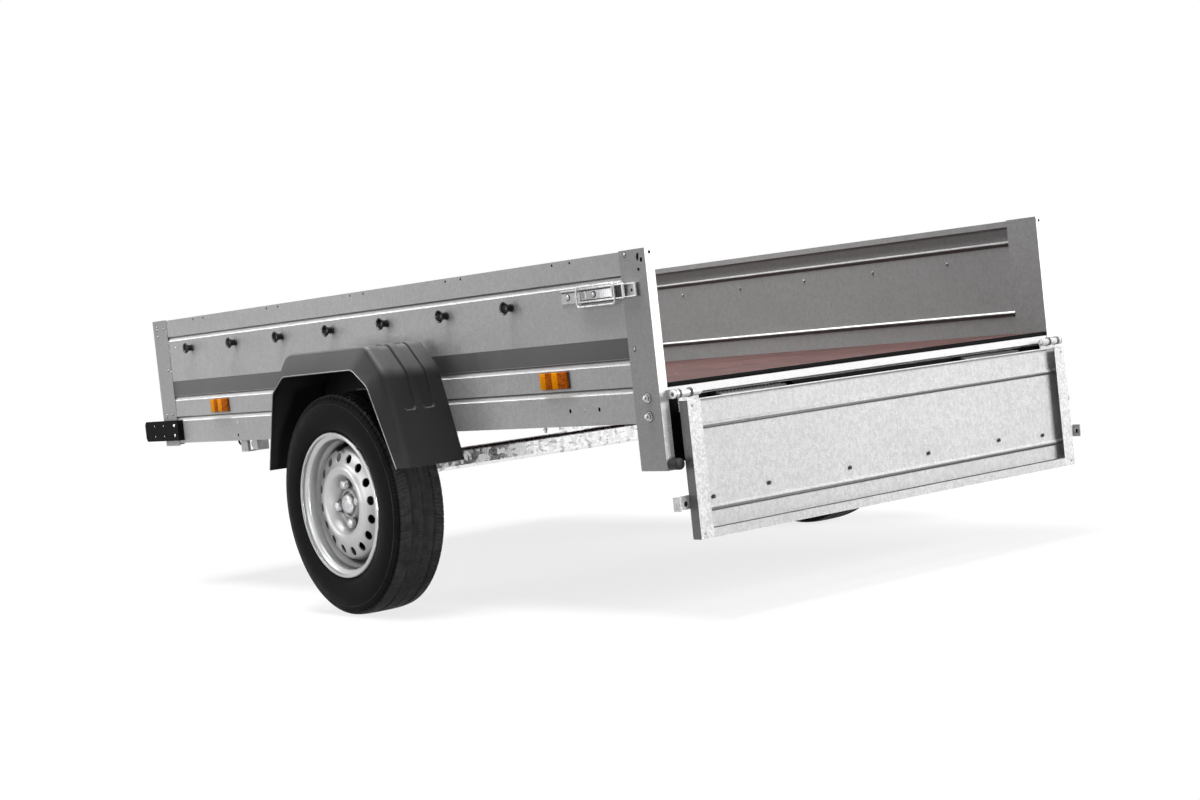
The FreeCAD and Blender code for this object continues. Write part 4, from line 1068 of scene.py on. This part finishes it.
def spool(piece, seat):
    """A cover knob: a foot, a narrow waist and a hollow flared head with a screw in it, and a painted
    highlight on the head's inner lip.
    """
    for line, sides, material in SPOOL_PARTS:
        piece.add(lathe(line, sides), material, seat)


def knobs():
    """The cover knobs along both walls and on the front wall."""
    piece = Piece("knob_spools_side")
    for index in range(KNOB_COUNT):
        for side in SIDES:
            spool(piece, side_seat(side, KNOB_START - index * KNOB_PITCH, WALL_FACE, KNOB_HEIGHT))
    piece.finish("chassis", "knob_plastic", "side_knobs")
    low, high = extent("front_knobs")
    piece = Piece("knob_spools_front")
    reach = (high.y - low.y) / 2 - KNOB_MARGIN
    for y in (-reach, 0, reach):
        spool(piece, facing((low.x, y, KNOB_HEIGHT), FRONT))
    piece.finish("chassis", "knob_plastic", "front_knobs")


def gate_knob_places(x):
    """Places of the tailgate's knobs, all at one distance along the trailer."""
    low, high = extent("tailgate_knobs")
    middle = (low.y + high.y) / 2
    outer = (high.y - low.y) / 2 - KNOB_MARGIN
    heights = (low.z + KNOB_MARGIN, high.z - KNOB_MARGIN)
    return [(x, middle + share * outer, heights[row]) for share, row in GATE_KNOBS]


def gate_knobs():
    """The cover knobs on the tailgate's outer side, which faces forward while it hangs open."""
    piece = Piece("knob_spools_gate")
    for place in gate_knob_places(extent("tailgate_knobs")[0].x):
        spool(piece, facing(place, FRONT))
    piece.finish("tailgate", "knob_plastic", "tailgate_knobs")


# Fittings on the walls

STRIPE_REAR = POST_REAR + 90
STRIPE_FRONT = extent("post_front_left")[0].x - 1
STRIPE_MIDDLE = 603.5
STRIPE_HEIGHT = 45
REFLECTORS = (951, -692)
REFLECTOR_FACE = WALL_FACE + 0.2
REFLECTOR_HALF = 52.5
REFLECTOR_LOW = 523.6
REFLECTOR_HIGH = 564
REFLECTOR_RIM = 1.2
BRIGHT_HEIGHT = 8.8
DARK_HEIGHT = 8.4
REFLECTOR_FIELDS = ((-51, -29, 0), (-29, -6, 1), (-6, 17, 0), (17, 51, 1))


def bands():
    """The dark stripe on each wall, a thin film between the ribs and the posts."""
    for side, name in SIDES.items():
        piece = Piece("stripe_" + name)
        outline = rounded_outline(rectangle(STRIPE_REAR, STRIPE_FRONT, STRIPE_MIDDLE, STRIPE_HEIGHT), 1)
        piece.add(plate(outline, 0.5, 0.1), band_film, upright(side, WALL_FACE))
        piece.finish("chassis", "black_metal")


def reflectors():
    """Amber side reflectors with light and dark fields on a black base."""
    piece = Piece("reflector_lenses")
    face = REFLECTOR_FACE
    for middle in REFLECTORS:
        for side in SIDES:
            low = (middle - REFLECTOR_HALF, face, REFLECTOR_LOW)
            high = (middle + REFLECTOR_HALF, face + 3, REFLECTOR_HIGH)
            piece.add(block(low, high, 1), lamp_housing, FLIP[side])
            for start, end, dark in REFLECTOR_FIELDS:
                low = (middle - end + 0.3, face + 1, REFLECTOR_LOW + REFLECTOR_RIM)
                top = face + (DARK_HEIGHT if dark else BRIGHT_HEIGHT)
                high = (middle - start - 0.3, top, REFLECTOR_HIGH - REFLECTOR_RIM)
                piece.add(block(low, high, 1.6, 3), amber_dark if dark else amber_bright, FLIP[side])
    piece.finish("chassis", "amber", "side_reflectors")


LATCH_MIDDLE = 729
LATCH_FACE = WALL_FACE + 0.2
BASE_FRONT = -748
BASE_REAR = -962
LEVER_FRONT = -818
LEVER_REAR = -948
LINK = (-982, -940, LATCH_MIDDLE, 30)
BAIL = (LEVER_REAR - 2, LEVER_FRONT + 3, LATCH_MIDDLE - 2.8, 45)
KEEPER_FRONT = -983
KEEPER_REAR = -1022
KEEPER_FACE = POST_FACE + 0.2
KEEPER_HEIGHT = 27
KEEPER_GAP_HEIGHT = 28
KEEPER_HOLE = -1004
KEEPER_ROLL = [(1.2, 0), (3, 0.4), (3, 29.6), (1.2, 30)]
LATCH_PLATES = (
    (BASE_REAR, BASE_FRONT, 0, 30, 0, 2.2, 0.4, bolt_metal),
    # The lever's dark plate round the tray: painted shade.
    (LEVER_REAR, LEVER_FRONT, -2, 34, 0, 2.8, 0.3, dark_bolt_and_painted_shade),
    (LEVER_REAR + 1, LEVER_FRONT - 5, -0.5, 19, 3, 2, 0.4, bolt_metal),
)
# Bright strips along the edges of the base, the tray and the lever: painted highlights.
LATCH_STRIPS = (
    (BASE_REAR, BASE_FRONT, 12.6, 15.2, LATCH_FACE, 4.4),
    (LEVER_REAR, LEVER_FRONT, 13.4, 17, LATCH_FACE + 2.4, 8.6),
    (LEVER_REAR, LEVER_FRONT, -16.4, -12.8, LATCH_FACE + 2.4, 8.6),
    (LEVER_FRONT - 26, LEVER_FRONT - 22, -10, 9, LATCH_FACE + 4.6, 1.2),
)
LATCH_RIVETS = ((-773, 2.4), (-871, 5.8))
# Bright strips along the keeper's top and bottom edges: painted highlights.
KEEPER_STRIPS = (
    (KEEPER_REAR, KEEPER_FRONT, 12.4, 15.2, KEEPER_FACE, 9),
    (KEEPER_REAR, KEEPER_FRONT, -15.4, -12.6, KEEPER_FACE, 9),
)


def strip(piece, side, start, end, bottom, top, face, height, material=bright_metal_and_highlight):
    """A flat bar on a side wall, by its reach along it and upward, the face it lies on and its height."""
    low = (start, face, LATCH_MIDDLE + bottom)
    high = (end, face + height, LATCH_MIDDLE + top)
    piece.add(block(low, high, 0.7), material, FLIP[side])


def latch_lever(piece, side):
    """The base plate with the tray lever folded down on it; bright strips are painted highlights along its
    edges, and the dark plate and strips are painted shade.
    """
    for start, end, shift, height, lift, thickness, bevel, material in LATCH_PLATES:
        outline = rounded_outline(rectangle(start, end, LATCH_MIDDLE + shift, height), 1.5)
        piece.add(plate(outline, thickness, bevel), material, upright(side, LATCH_FACE + lift))
    # A dark strip on the base beyond the lever's front end: painted shade.
    strip(piece, side, LEVER_FRONT, BASE_FRONT - 2, 8.8, 12.2, LATCH_FACE, 2.6, dark_bolt_and_painted_shade)
    for row in LATCH_STRIPS:
        strip(piece, side, *row)
    for x, height in LATCH_RIVETS:
        seat = FLIP[side] @ side_seat(1, x, LATCH_FACE + height, LATCH_MIDDLE)
        # A dark ring under each rivet: painted shade.
        piece.add(lathe([(0, 0.3), (7.4, 0.3), (7.8, 0)], 20), dark_bolt_and_painted_shade, seat)
        piece.add(rivet(5.6, 4.2), bright_metal_and_highlight, seat)


def latch_keeper(piece, side):
    """The keeper box on the post with the link that hooks into it, a dark plate of painted shadow in the gap
    before it, and painted highlights along its edges.
    """
    middle = LATCH_MIDDLE
    # A dark plate between the keeper and the lever: a painted shadow in the gap.
    gap = rectangle(KEEPER_FRONT, LEVER_REAR, middle, KEEPER_GAP_HEIGHT)
    piece.add(plate(gap, 0.6, 0.2), dark_bolt_and_painted_shade, upright(side, POST_FACE + 0.1))
    piece.add(wire_ring(rectangle(*LINK), WALL_FACE + 8, 2, 4), bright_metal_and_highlight, FLIP[side])
    hook = rounded_outline(rectangle(KEEPER_REAR, KEEPER_FRONT, middle, KEEPER_HEIGHT), 2)
    # The keeper's plate in a darker zinc than its edge strips: painted shade.
    piece.add(plate(hook, 2.2, 0.4), plate_metal, upright(side, KEEPER_FACE))
    hole(piece, side_seat(side, KEEPER_HOLE, POST_FACE + 2.3, middle - 1), 3.4)
    for row in KEEPER_STRIPS:
        strip(piece, side, *row)
    for x in (KEEPER_FRONT + 5, KEEPER_REAR + 1):
        seat = FLIP[side] @ facing((x, POST_FACE + 6, middle - 15), UP)
        piece.add(lathe(KEEPER_ROLL, 16), bright_metal_and_highlight, seat)


def latch(side, name):
    """Over-centre latch: base, tray lever, wire bail and link, and the keeper on the post."""
    piece = Piece("latch_parts_" + name)
    latch_lever(piece, side)
    piece.add(wire_ring(rectangle(*BAIL), WALL_FACE + 10.5, 2.1, 8), bright_metal_and_highlight, FLIP[side])
    latch_keeper(piece, side)
    piece.finish("chassis", "hub_steel", "latch_" + name)


# Fasteners

# Rows give X, Z and radius, then stretch and turn, or height and material
POST_EYELETS = (
    (-988.6, 804.9, 4.2), (-989.3, 600.3, 4.2), (1266, 662, 3.6), (1268, 527, 3.6),
    (1266, 790, 3.6), (1313, 796, 3.2), (1313, 789, 3.2), (1311, 767.8, 3.2),
    (1311, 526, 3.2), (1311, 520, 3.2),
)
POST_HOLES = ((-1032, 798.4, 4.2, 2.1, 80), (-1043.3, 790.6, 4, 1.4, 70), (-1031.5, 770.6, 4.2, 1, 0))
POST_NUTS = ((-1016, 492.4), (-1016, 452.1))
NUT = (8.6, 7.5, 1.2, 5)
NUT_RING = [(0, 0.6), (12, 0.6), (12.4, 0)]
NUT_SPIN = 0.3
TOP_HOLES = (1035.6, 583, 130, -320, -756)
TOP_HOLE_HEIGHT = 805.6
TOP_HOLE_SHIFT = 33
WALL_HOLES = ((-734, 472.4), (-841.3, 472.8), (865.8, 453.5))
WALL_RIVETS = [(865.2, 488.8, 4, 1.4, bolt_metal), (1203.9, 728.5, 3, 1.6, rivet_metal)]
WALL_RIVETS += [(x, 472.6, 3.4, 1.8, rivet_metal) for x in (-788, -180, -30, 420)]
STUD = [(0, 15), (2.6, 15), (3, 14), (3, 9), (5.6, 9), (5.6, 5), (3, 5), (3, 0)]
STUD_PLACES = (-619.9, -246, 505)
REAR_HOLE = (POST_REAR, 649, 804.8)
INNER_RIVETS = (1188, 900, 640, 360, 96, -180, -455, -730)
INNER_FACE = WALL_LOW.y + 15.5


def post_details(piece, side):
    """Rivets and nuts in rings of painted shade, and holes, on a side's posts."""
    for x, z, radius in POST_EYELETS:
        eyelet(piece, side_seat(side, x, POST_FACE, z), radius)
    for x, z, radius, stretch, turn in POST_HOLES:
        hole(piece, side_seat(side, x, POST_FACE, z, math.radians(turn)), radius, stretch)
    for x, z in POST_NUTS:
        seat = side_seat(side, x, POST_FACE, z, NUT_SPIN)
        # A dark ring under each nut: painted shade.
        piece.add(lathe(NUT_RING, 28), dark_bolt_and_painted_shade, seat)
        piece.add(hex_bolt(*NUT), nut_metal, seat)
    x, y, z = REAR_HOLE
    hole(piece, facing((x, side * y, z), REAR), 3.2)


def wall_details():
    """Rivets, holes and screws of the posts and walls."""
    piece = Piece("wall_fasteners")
    for side in SIDES:
        post_details(piece, side)
        for middle in TOP_HOLES:
            for shift in (-TOP_HOLE_SHIFT, TOP_HOLE_SHIFT):
                hole(piece, side_seat(side, middle + shift, WALL_FACE, TOP_HOLE_HEIGHT), 3)
        for x, z in WALL_HOLES:
            hole(piece, side_seat(side, x, WALL_FACE, z, math.radians(90)), 4, 1.25)
        for x, z, radius, height, material in WALL_RIVETS:
            piece.add(rivet(radius, height), material, side_seat(side, x, WALL_FACE, z))
        for x in STUD_PLACES:
            piece.add(lathe(STUD, 14), bolt_metal, facing((x, side * (WALL_FACE - 9), WALL_LOW.z + 2), DOWN))
        for x in INNER_RIVETS:
            seat = facing((x, side * INNER_FACE, KNOB_HEIGHT), OUT[-side])
            piece.add(rivet(4, 2.4), rivet_metal, seat)
    piece.finish("chassis", "hub_steel")


BRACKET_BOLTS = ((1236, 462), (1236, 492))
STUB_BLOCKS = (((836, 640, 403), (876, 650, 451.5), 1.5), ((836, 622, 403), (876, 641, 406), 1))
STUB_HOOK = [(905, 640, 452), (905, 640, 436), (901, 640, 428), (893, 640, 425), (886, 640, 429)]


def bracket_details():
    """Nuts of the front lamp brackets, and the ties with their hooks below the frame."""
    piece = Piece("bracket_bolts")
    face = extent("lamp_brackets")[1].y
    for side in SIDES:
        for x, z in BRACKET_BOLTS:
            piece.add(rivet(4.6, 3), bright_metal_and_highlight, side_seat(side, x, face, z))
    piece.finish("chassis", "black_metal")
    piece = Piece("frame_stub")
    for side in SIDES:
        for low, high, bevel in STUB_BLOCKS:
            piece.add(block(low, high, bevel), frame_metal, FLIP[side])
        piece.add(wire(eased(STUB_HOOK, 4), 3), black_paint_and_shade, FLIP[side])
    piece.finish("chassis", "frame_steel")


# Tailgate

GATE_RIB_DROPS = (60, 239)
GATE_PANEL = GATE_HIGH.x - 5
GATE_EDGE = 20
# Reach of the painted shadow lines: X from and to, Z from and to, and the bevel.
EDGE_SHADOW_LINE = (0.4, 3, 0, 2.6, 0.5)
RIB_SHADOW_LINE = (-6.2, -3, -5.8, -2.2, 0.6)
CATCH_INSET = 16
GATE_REACH = CHANNEL_HIGH.y - 40
CHANNEL_FACE = CHANNEL_LOW.x
CHANNEL_ENDS = (CHANNEL_LOW.z + 12, CHANNEL_HIGH.z - 12)
CHANNEL_INSET = 13
CHANNEL_RIVETS = (CHANNEL_LOW.z + 40, CHANNEL_LOW.z + 110, CHANNEL_LOW.z + 200, CHANNEL_HIGH.z - 30)
HINGE_RINGS = (
    ([(5, 2.4), (9, 2.2), (9.8, 1.4), (9.8, -1.4), (9, -2.2), (5, -2.4)], bright_metal_and_highlight, (-0.5, 4.5)),
    ([(9, 0.8), (10.1, 0.8), (10.1, -0.8), (9, -0.8)], dark_bolt_and_painted_shade, (1.6, -12, -40, -44)),
)
HINGE_AXIS = 10


def painted_shadow_line(piece, x, z, x_low, x_high, z_low, z_high, bevel):
    """A painted shadow line: a dark strip across the tailgate between its channels, by its reach round a
    place.
    """
    low = (x + x_low, -GATE_REACH, z + z_low)
    high = (x + x_high, GATE_REACH, z + z_high)
    piece.add(block(low, high, bevel), dark_bolt_and_painted_shade)


def gate_details():
    """Bolts through the tailgate, painted shadow lines along its ribs and above its lower lip, the rivets of
    its channels, and a hole in each catch.
    """
    piece = Piece("gate_fasteners")
    for place in gate_knob_places(GATE_PANEL):
        piece.add(hex_bolt(3.3, 3.2, 1.4), dark_bolt_and_painted_shade, facing(place, REAR))
    for side in SIDES:
        for z in CHANNEL_ENDS:
            seat = facing((CHANNEL_FACE, side * (CHANNEL_HIGH.y - CHANNEL_INSET), z), REAR)
            piece.add(rivet(3.6, 2), rivet_metal, seat)
        for z in CHANNEL_RIVETS:
            seat = facing((CHANNEL_FACE + 14, side * (CHANNEL_HIGH.y - 2.1), z), OUT[-side])
            piece.add(rivet(3, 1.6), rivet_metal, seat)
    # Painted shadow lines above the lower lip and along the ribs.
    painted_shadow_line(piece, CHANNEL_FACE, GATE_LOW.z + GATE_EDGE, *EDGE_SHADOW_LINE)
    for drop in GATE_RIB_DROPS:
        painted_shadow_line(piece, GATE_HIGH.x, GATE_HIGH.z - drop, *RIB_SHADOW_LINE)
    low, high = extent("tailgate_catches")
    for side in SIDES:
        place = (low.x, side * (high.y - CATCH_INSET), (low.z + high.z) / 2)
        hole(piece, facing(place, REAR, math.radians(90)), 5, 1.3)
    piece.finish("tailgate", "hub_steel")


def hinges():
    """Bright rings and dark gaps round the hinge ears' barrels."""
    piece = Piece("hinge_rings")
    low, high = extent("hinge_ears")
    x = low.x + HINGE_AXIS
    z = (low.z + high.z) / 2
    for side in SIDES:
        for line, material, shifts in HINGE_RINGS:
            for shift in shifts:
                piece.add(lathe(line, 28), material, side_seat(side, x, high.y + shift, z))
    piece.finish("chassis", "hub_steel")


# Rubber buffers and rear lamps

BUFFER_END = ((3.4, 0), (1.6, 0.5), (0.5, 1.8), (0, 4))
BUFFER_FOOT = ((0, 5), (0.6, 3.6), (2, 2.6), (2.6, 1.2), (2.6, 0))
LAMP_RIBS = 18
LAMP_RIB_EDGE = 8
LAMP_RIB_HALF = 1.6
LENS_EDGE = 3
LENS_GAP = 0.4
LENS_DEPTH = 22
LENS_DROP = 19
LENS_FOOT = 4
LAMP_FIELDS = ((0, 0.34, amber_lens), (0.34, 0.72, red_lens), (0.72, 1, clear_lens))


def buffers():
    """Round rubber buffers on the posts' lower ends."""
    low, high = extent("post_buffers")
    radius = (high.z - low.z) / 2
    length = high.x - low.x
    line = [(0, length)]
    line += [(radius - narrow, length - back) for narrow, back in BUFFER_END]
    line += [(radius - narrow, along) for narrow, along in BUFFER_FOOT]
    piece = Piece("buffer_stops")
    for side in SIDES:
        place = (high.x, side * (high.y - radius), (low.z + high.z) / 2)
        piece.add(lathe(line, 48), buffer_rubber, facing(place, REAR))
    piece.finish("chassis", "rubber", "post_buffers")


def lamp_body(piece, low, high):
    """A rear lamp's housing with its hood and the ribs on top."""
    top = high - Vector((0, 0.5, 3))
    piece.add(block(low + Vector((14, 0.5, 0.5)), top, 5, 3), lamp_housing)
    piece.add(block((low.x + 2, low.y + 0.5, high.z - 20), top, 4, 3), lamp_housing)
    for index in range(LAMP_RIBS):
        y = low.y + LAMP_RIB_EDGE + (high.y - low.y - 2 * LAMP_RIB_EDGE) * index / (LAMP_RIBS - 1)
        rib_low = (low.x + 18, y - LAMP_RIB_HALF, high.z - 6)
        rib_high = (high.x - 3, y + LAMP_RIB_HALF, high.z - 0.4)
        piece.add(block(rib_low, rib_high, 1), lamp_housing)


def rear_lamps():
    """Rear lamps with ribbed housings and fields of red, amber and clear lens."""
    for side, name in SIDES.items():
        low, high = extent("rear_lamp_" + name)
        piece = Piece("rear_lamp_parts_" + name)
        lamp_body(piece, low, high)
        first = low.y + LENS_EDGE
        width = high.y - low.y - 2 * LENS_EDGE
        for start, end, lens in LAMP_FIELDS:
            if side > 0:
                start, end = 1 - end, 1 - start
            corner = (low.x, first + width * start + LENS_GAP, low.z + LENS_FOOT)
            opposite = (low.x + LENS_DEPTH, first + width * end - LENS_GAP, high.z - LENS_DROP)
            piece.add(block(corner, opposite, 4, 3), lens)
        piece.finish("chassis", "lamp", "rear_lamp_" + name)


# Floor and jockey wheel

SCREW_HEAD = [(0, 0.3), (1.4, 0.4), (1.8, 0.9), (4.4, 0.8), (5.4, 0.4), (5.8, 0.05)]
SCREW_ROWS = (1288, 820, 350, -120, -590, -1020)
SCREW_COLUMNS = (-600, -420, -210, 0, 210, 420, 600)
GRIP_LENGTH = 66
GRIP_INSET = 12
GRIP = [
    (8, 0), (10.5, 1), (11.6, 4), (10.8, 14), (10.4, 30), (11.2, 50), (11.8, 60),
    (10.8, 64.5), (7, GRIP_LENGTH),
]


def floor_screws():
    """Screws that hold the floor to the cross members, and the sealed rear edge."""
    piece = Piece("floor_screws")
    low, high = FLOOR_LOW, FLOOR_HIGH
    seal = block((low.x - 0.8, low.y + 4, low.z + 0.5), (low.x + 8, high.y - 4, high.z + 0.5), 0.4)
    piece.add(seal, black_paint_and_shade)
    for x in SCREW_ROWS:
        for y in SCREW_COLUMNS:
            piece.add(lathe(SCREW_HEAD, 18), dark_bolt_and_painted_shade, Matrix.Translation((x, y, high.z)))
    piece.finish("chassis", "hub_steel")


def crank_grip():
    """The black grip on the jockey wheel's crank."""
    low, high = extent("jockey_crank")
    piece = Piece("crank_grip")
    place = (high.x - GRIP_INSET, (low.y + high.y) / 2, high.z - GRIP_LENGTH)
    piece.add(lathe(eased(GRIP, 4) + [(0, GRIP_LENGTH)], 36), grip_plastic, facing(place, UP))
    piece.finish("chassis", "grip")


# Stage, light and camera

IMAGE_WIDTH = 1200
FOCAL_PIXELS = 1977.27
SENSOR = 36
CAMERA_PLACE = (-4.9236, 3.3774, 0.66551)
YAW = math.radians(-38.11)
PITCH = math.radians(-2.23)
ROLL = math.radians(-6.16)
SIGHT = 200
WHITE = (1, 1, 1, 1)
FLOOR_HALF = 60
AMBIENT = 0.08
FLOOR_BOUNCE = 0.12
FLOOR_SHADOW_SHARE = 0.2
SHADOW_REACH = (1.6, 3.4)
MIDDLE = (-0.4, 0, 0.4)
LAMPS = (
    ("key", (-6, -2, 2), MIDDLE, 3, 2, 330, 180),
    ("side", (0.25, 3.3, 0.7), (0.1, 0.6, 0.5), 1.8, 0.8, 15, 180),
    ("front", (2.2, 4.4, 2.6), (0, 0.7, 0.5), 1.6, 1, 36, 180),
    ("low", (-4.2, 1.9, 0.2), (-0.75, 0.84, 0.25), 0.5, 0.3, 1, 15),
    ("top", (-0.3, 0.6, 4.6), MIDDLE, 4, 2.4, 440, 180),
)


def camera():
    """The camera at the photograph's viewpoint."""
    data = bpy.data.cameras.new("camera")
    data.sensor_width = SENSOR
    data.lens = SENSOR * FOCAL_PIXELS / IMAGE_WIDTH
    data.clip_end = SIGHT
    forward = Vector((math.cos(YAW) * math.cos(PITCH), math.sin(YAW) * math.cos(PITCH), math.sin(PITCH)))
    level = forward.cross(UP).normalized()
    over = level.cross(forward)
    right = level * math.cos(ROLL) + over * math.sin(ROLL)
    top = over * math.cos(ROLL) - level * math.sin(ROLL)
    turn = Matrix((right, top, -forward)).transposed().to_4x4()
    made = linked("camera", data)
    made.matrix_world = Matrix.Translation(CAMERA_PLACE) @ turn
    bpy.context.scene.camera = made


def lights():
    """Soft lamps: the key behind and above the tailgate, weaker ones on the left, and a wide top light."""
    for name, place, target, width, height, power, spread in LAMPS:
        data = bpy.data.lights.new(name, "AREA")
        data.shape = "RECTANGLE"
        data.size = width
        data.size_y = height
        data.energy = power
        data.spread = math.radians(spread)
        made = linked(name, data)
        made.location = place
        made.rotation_mode = "QUATERNION"
        made.rotation_quaternion = (Vector(target) - Vector(place)).to_track_quat("-Z", "Y")


def mixed_by_sight(tree, unseen, seen):
    """One shader for rays from the camera, reflections and glass, and the other for all other rays."""
    path = tree.nodes.new("ShaderNodeLightPath").outputs
    rays = {0: path["Is Camera Ray"], 1: path["Is Glossy Ray"]}
    share = add_node(tree, "Math", "Value", rays, operation="MAXIMUM")
    share = add_node(tree, "Math", "Value", {0: share, 1: path["Is Transmission Ray"]}, operation="MAXIMUM")
    return add_node(tree, "MixShader", "Shader", {"Fac": share, 1: unseen, 2: seen})


def world():
    """White where it is seen, and a dimmer even light on the object."""
    made = bpy.data.worlds.new("studio")
    bpy.context.scene.world = made
    made.use_nodes = True
    tree = made.node_tree
    base = tree.nodes["Background"]
    base.inputs["Color"].default_value = WHITE
    base.inputs["Strength"].default_value = AMBIENT
    white = add_node(tree, "Background", "Background", {"Color": WHITE, "Strength": 1})
    surface = mixed_by_sight(tree, base.outputs["Background"], white)
    tree.links.new(surface, tree.nodes["World Output"].inputs["Surface"])


def ground():
    """Plain white floor that keeps a soft shadow."""
    grid = bmesh.new()
    bmesh.ops.create_grid(grid, x_segments=4, y_segments=4, size=FLOOR_HALF)
    data = as_mesh("floor", grid)
    made = linked("floor", data)
    made.location.z = -MM
    nodes = Nodes("studio_floor", FLOOR_BOUNCE, 0.9)
    distance = nodes.add("VectorMath", "Value", {0: nodes.place()}, operation="LENGTH")
    fade = nodes.ranged(distance, 1 - FLOOR_SHADOW_SHARE, 1, *SHADOW_REACH)
    shadowed = nodes.add("BsdfDiffuse", "BSDF", {"Color": WHITE})
    glow = nodes.add("Emission", "Emission", {"Color": WHITE})
    seen = nodes.add("MixShader", "Shader", {"Fac": fade, 1: shadowed, 2: glow})
    bounce = nodes.tree.nodes["Principled BSDF"].outputs["BSDF"]
    surface = mixed_by_sight(nodes.tree, bounce, seen)
    nodes.tree.links.new(surface, nodes.tree.nodes["Material Output"].inputs["Surface"])
    data.materials.append(nodes.material)


bpy.context.scene.view_settings.view_transform = "Standard"
dress_carried()
soften_carried()
for sign, word in SIDES.items():
    for make in (tyre, rim, hub, mudguard, latch):
        make(sign, word)
for make in (
    knobs, gate_knobs, bands, reflectors, wall_details, bracket_details, gate_details, hinges, buffers,
    rear_lamps, floor_screws, crank_grip, ground, world, lights, camera,
):
    make()
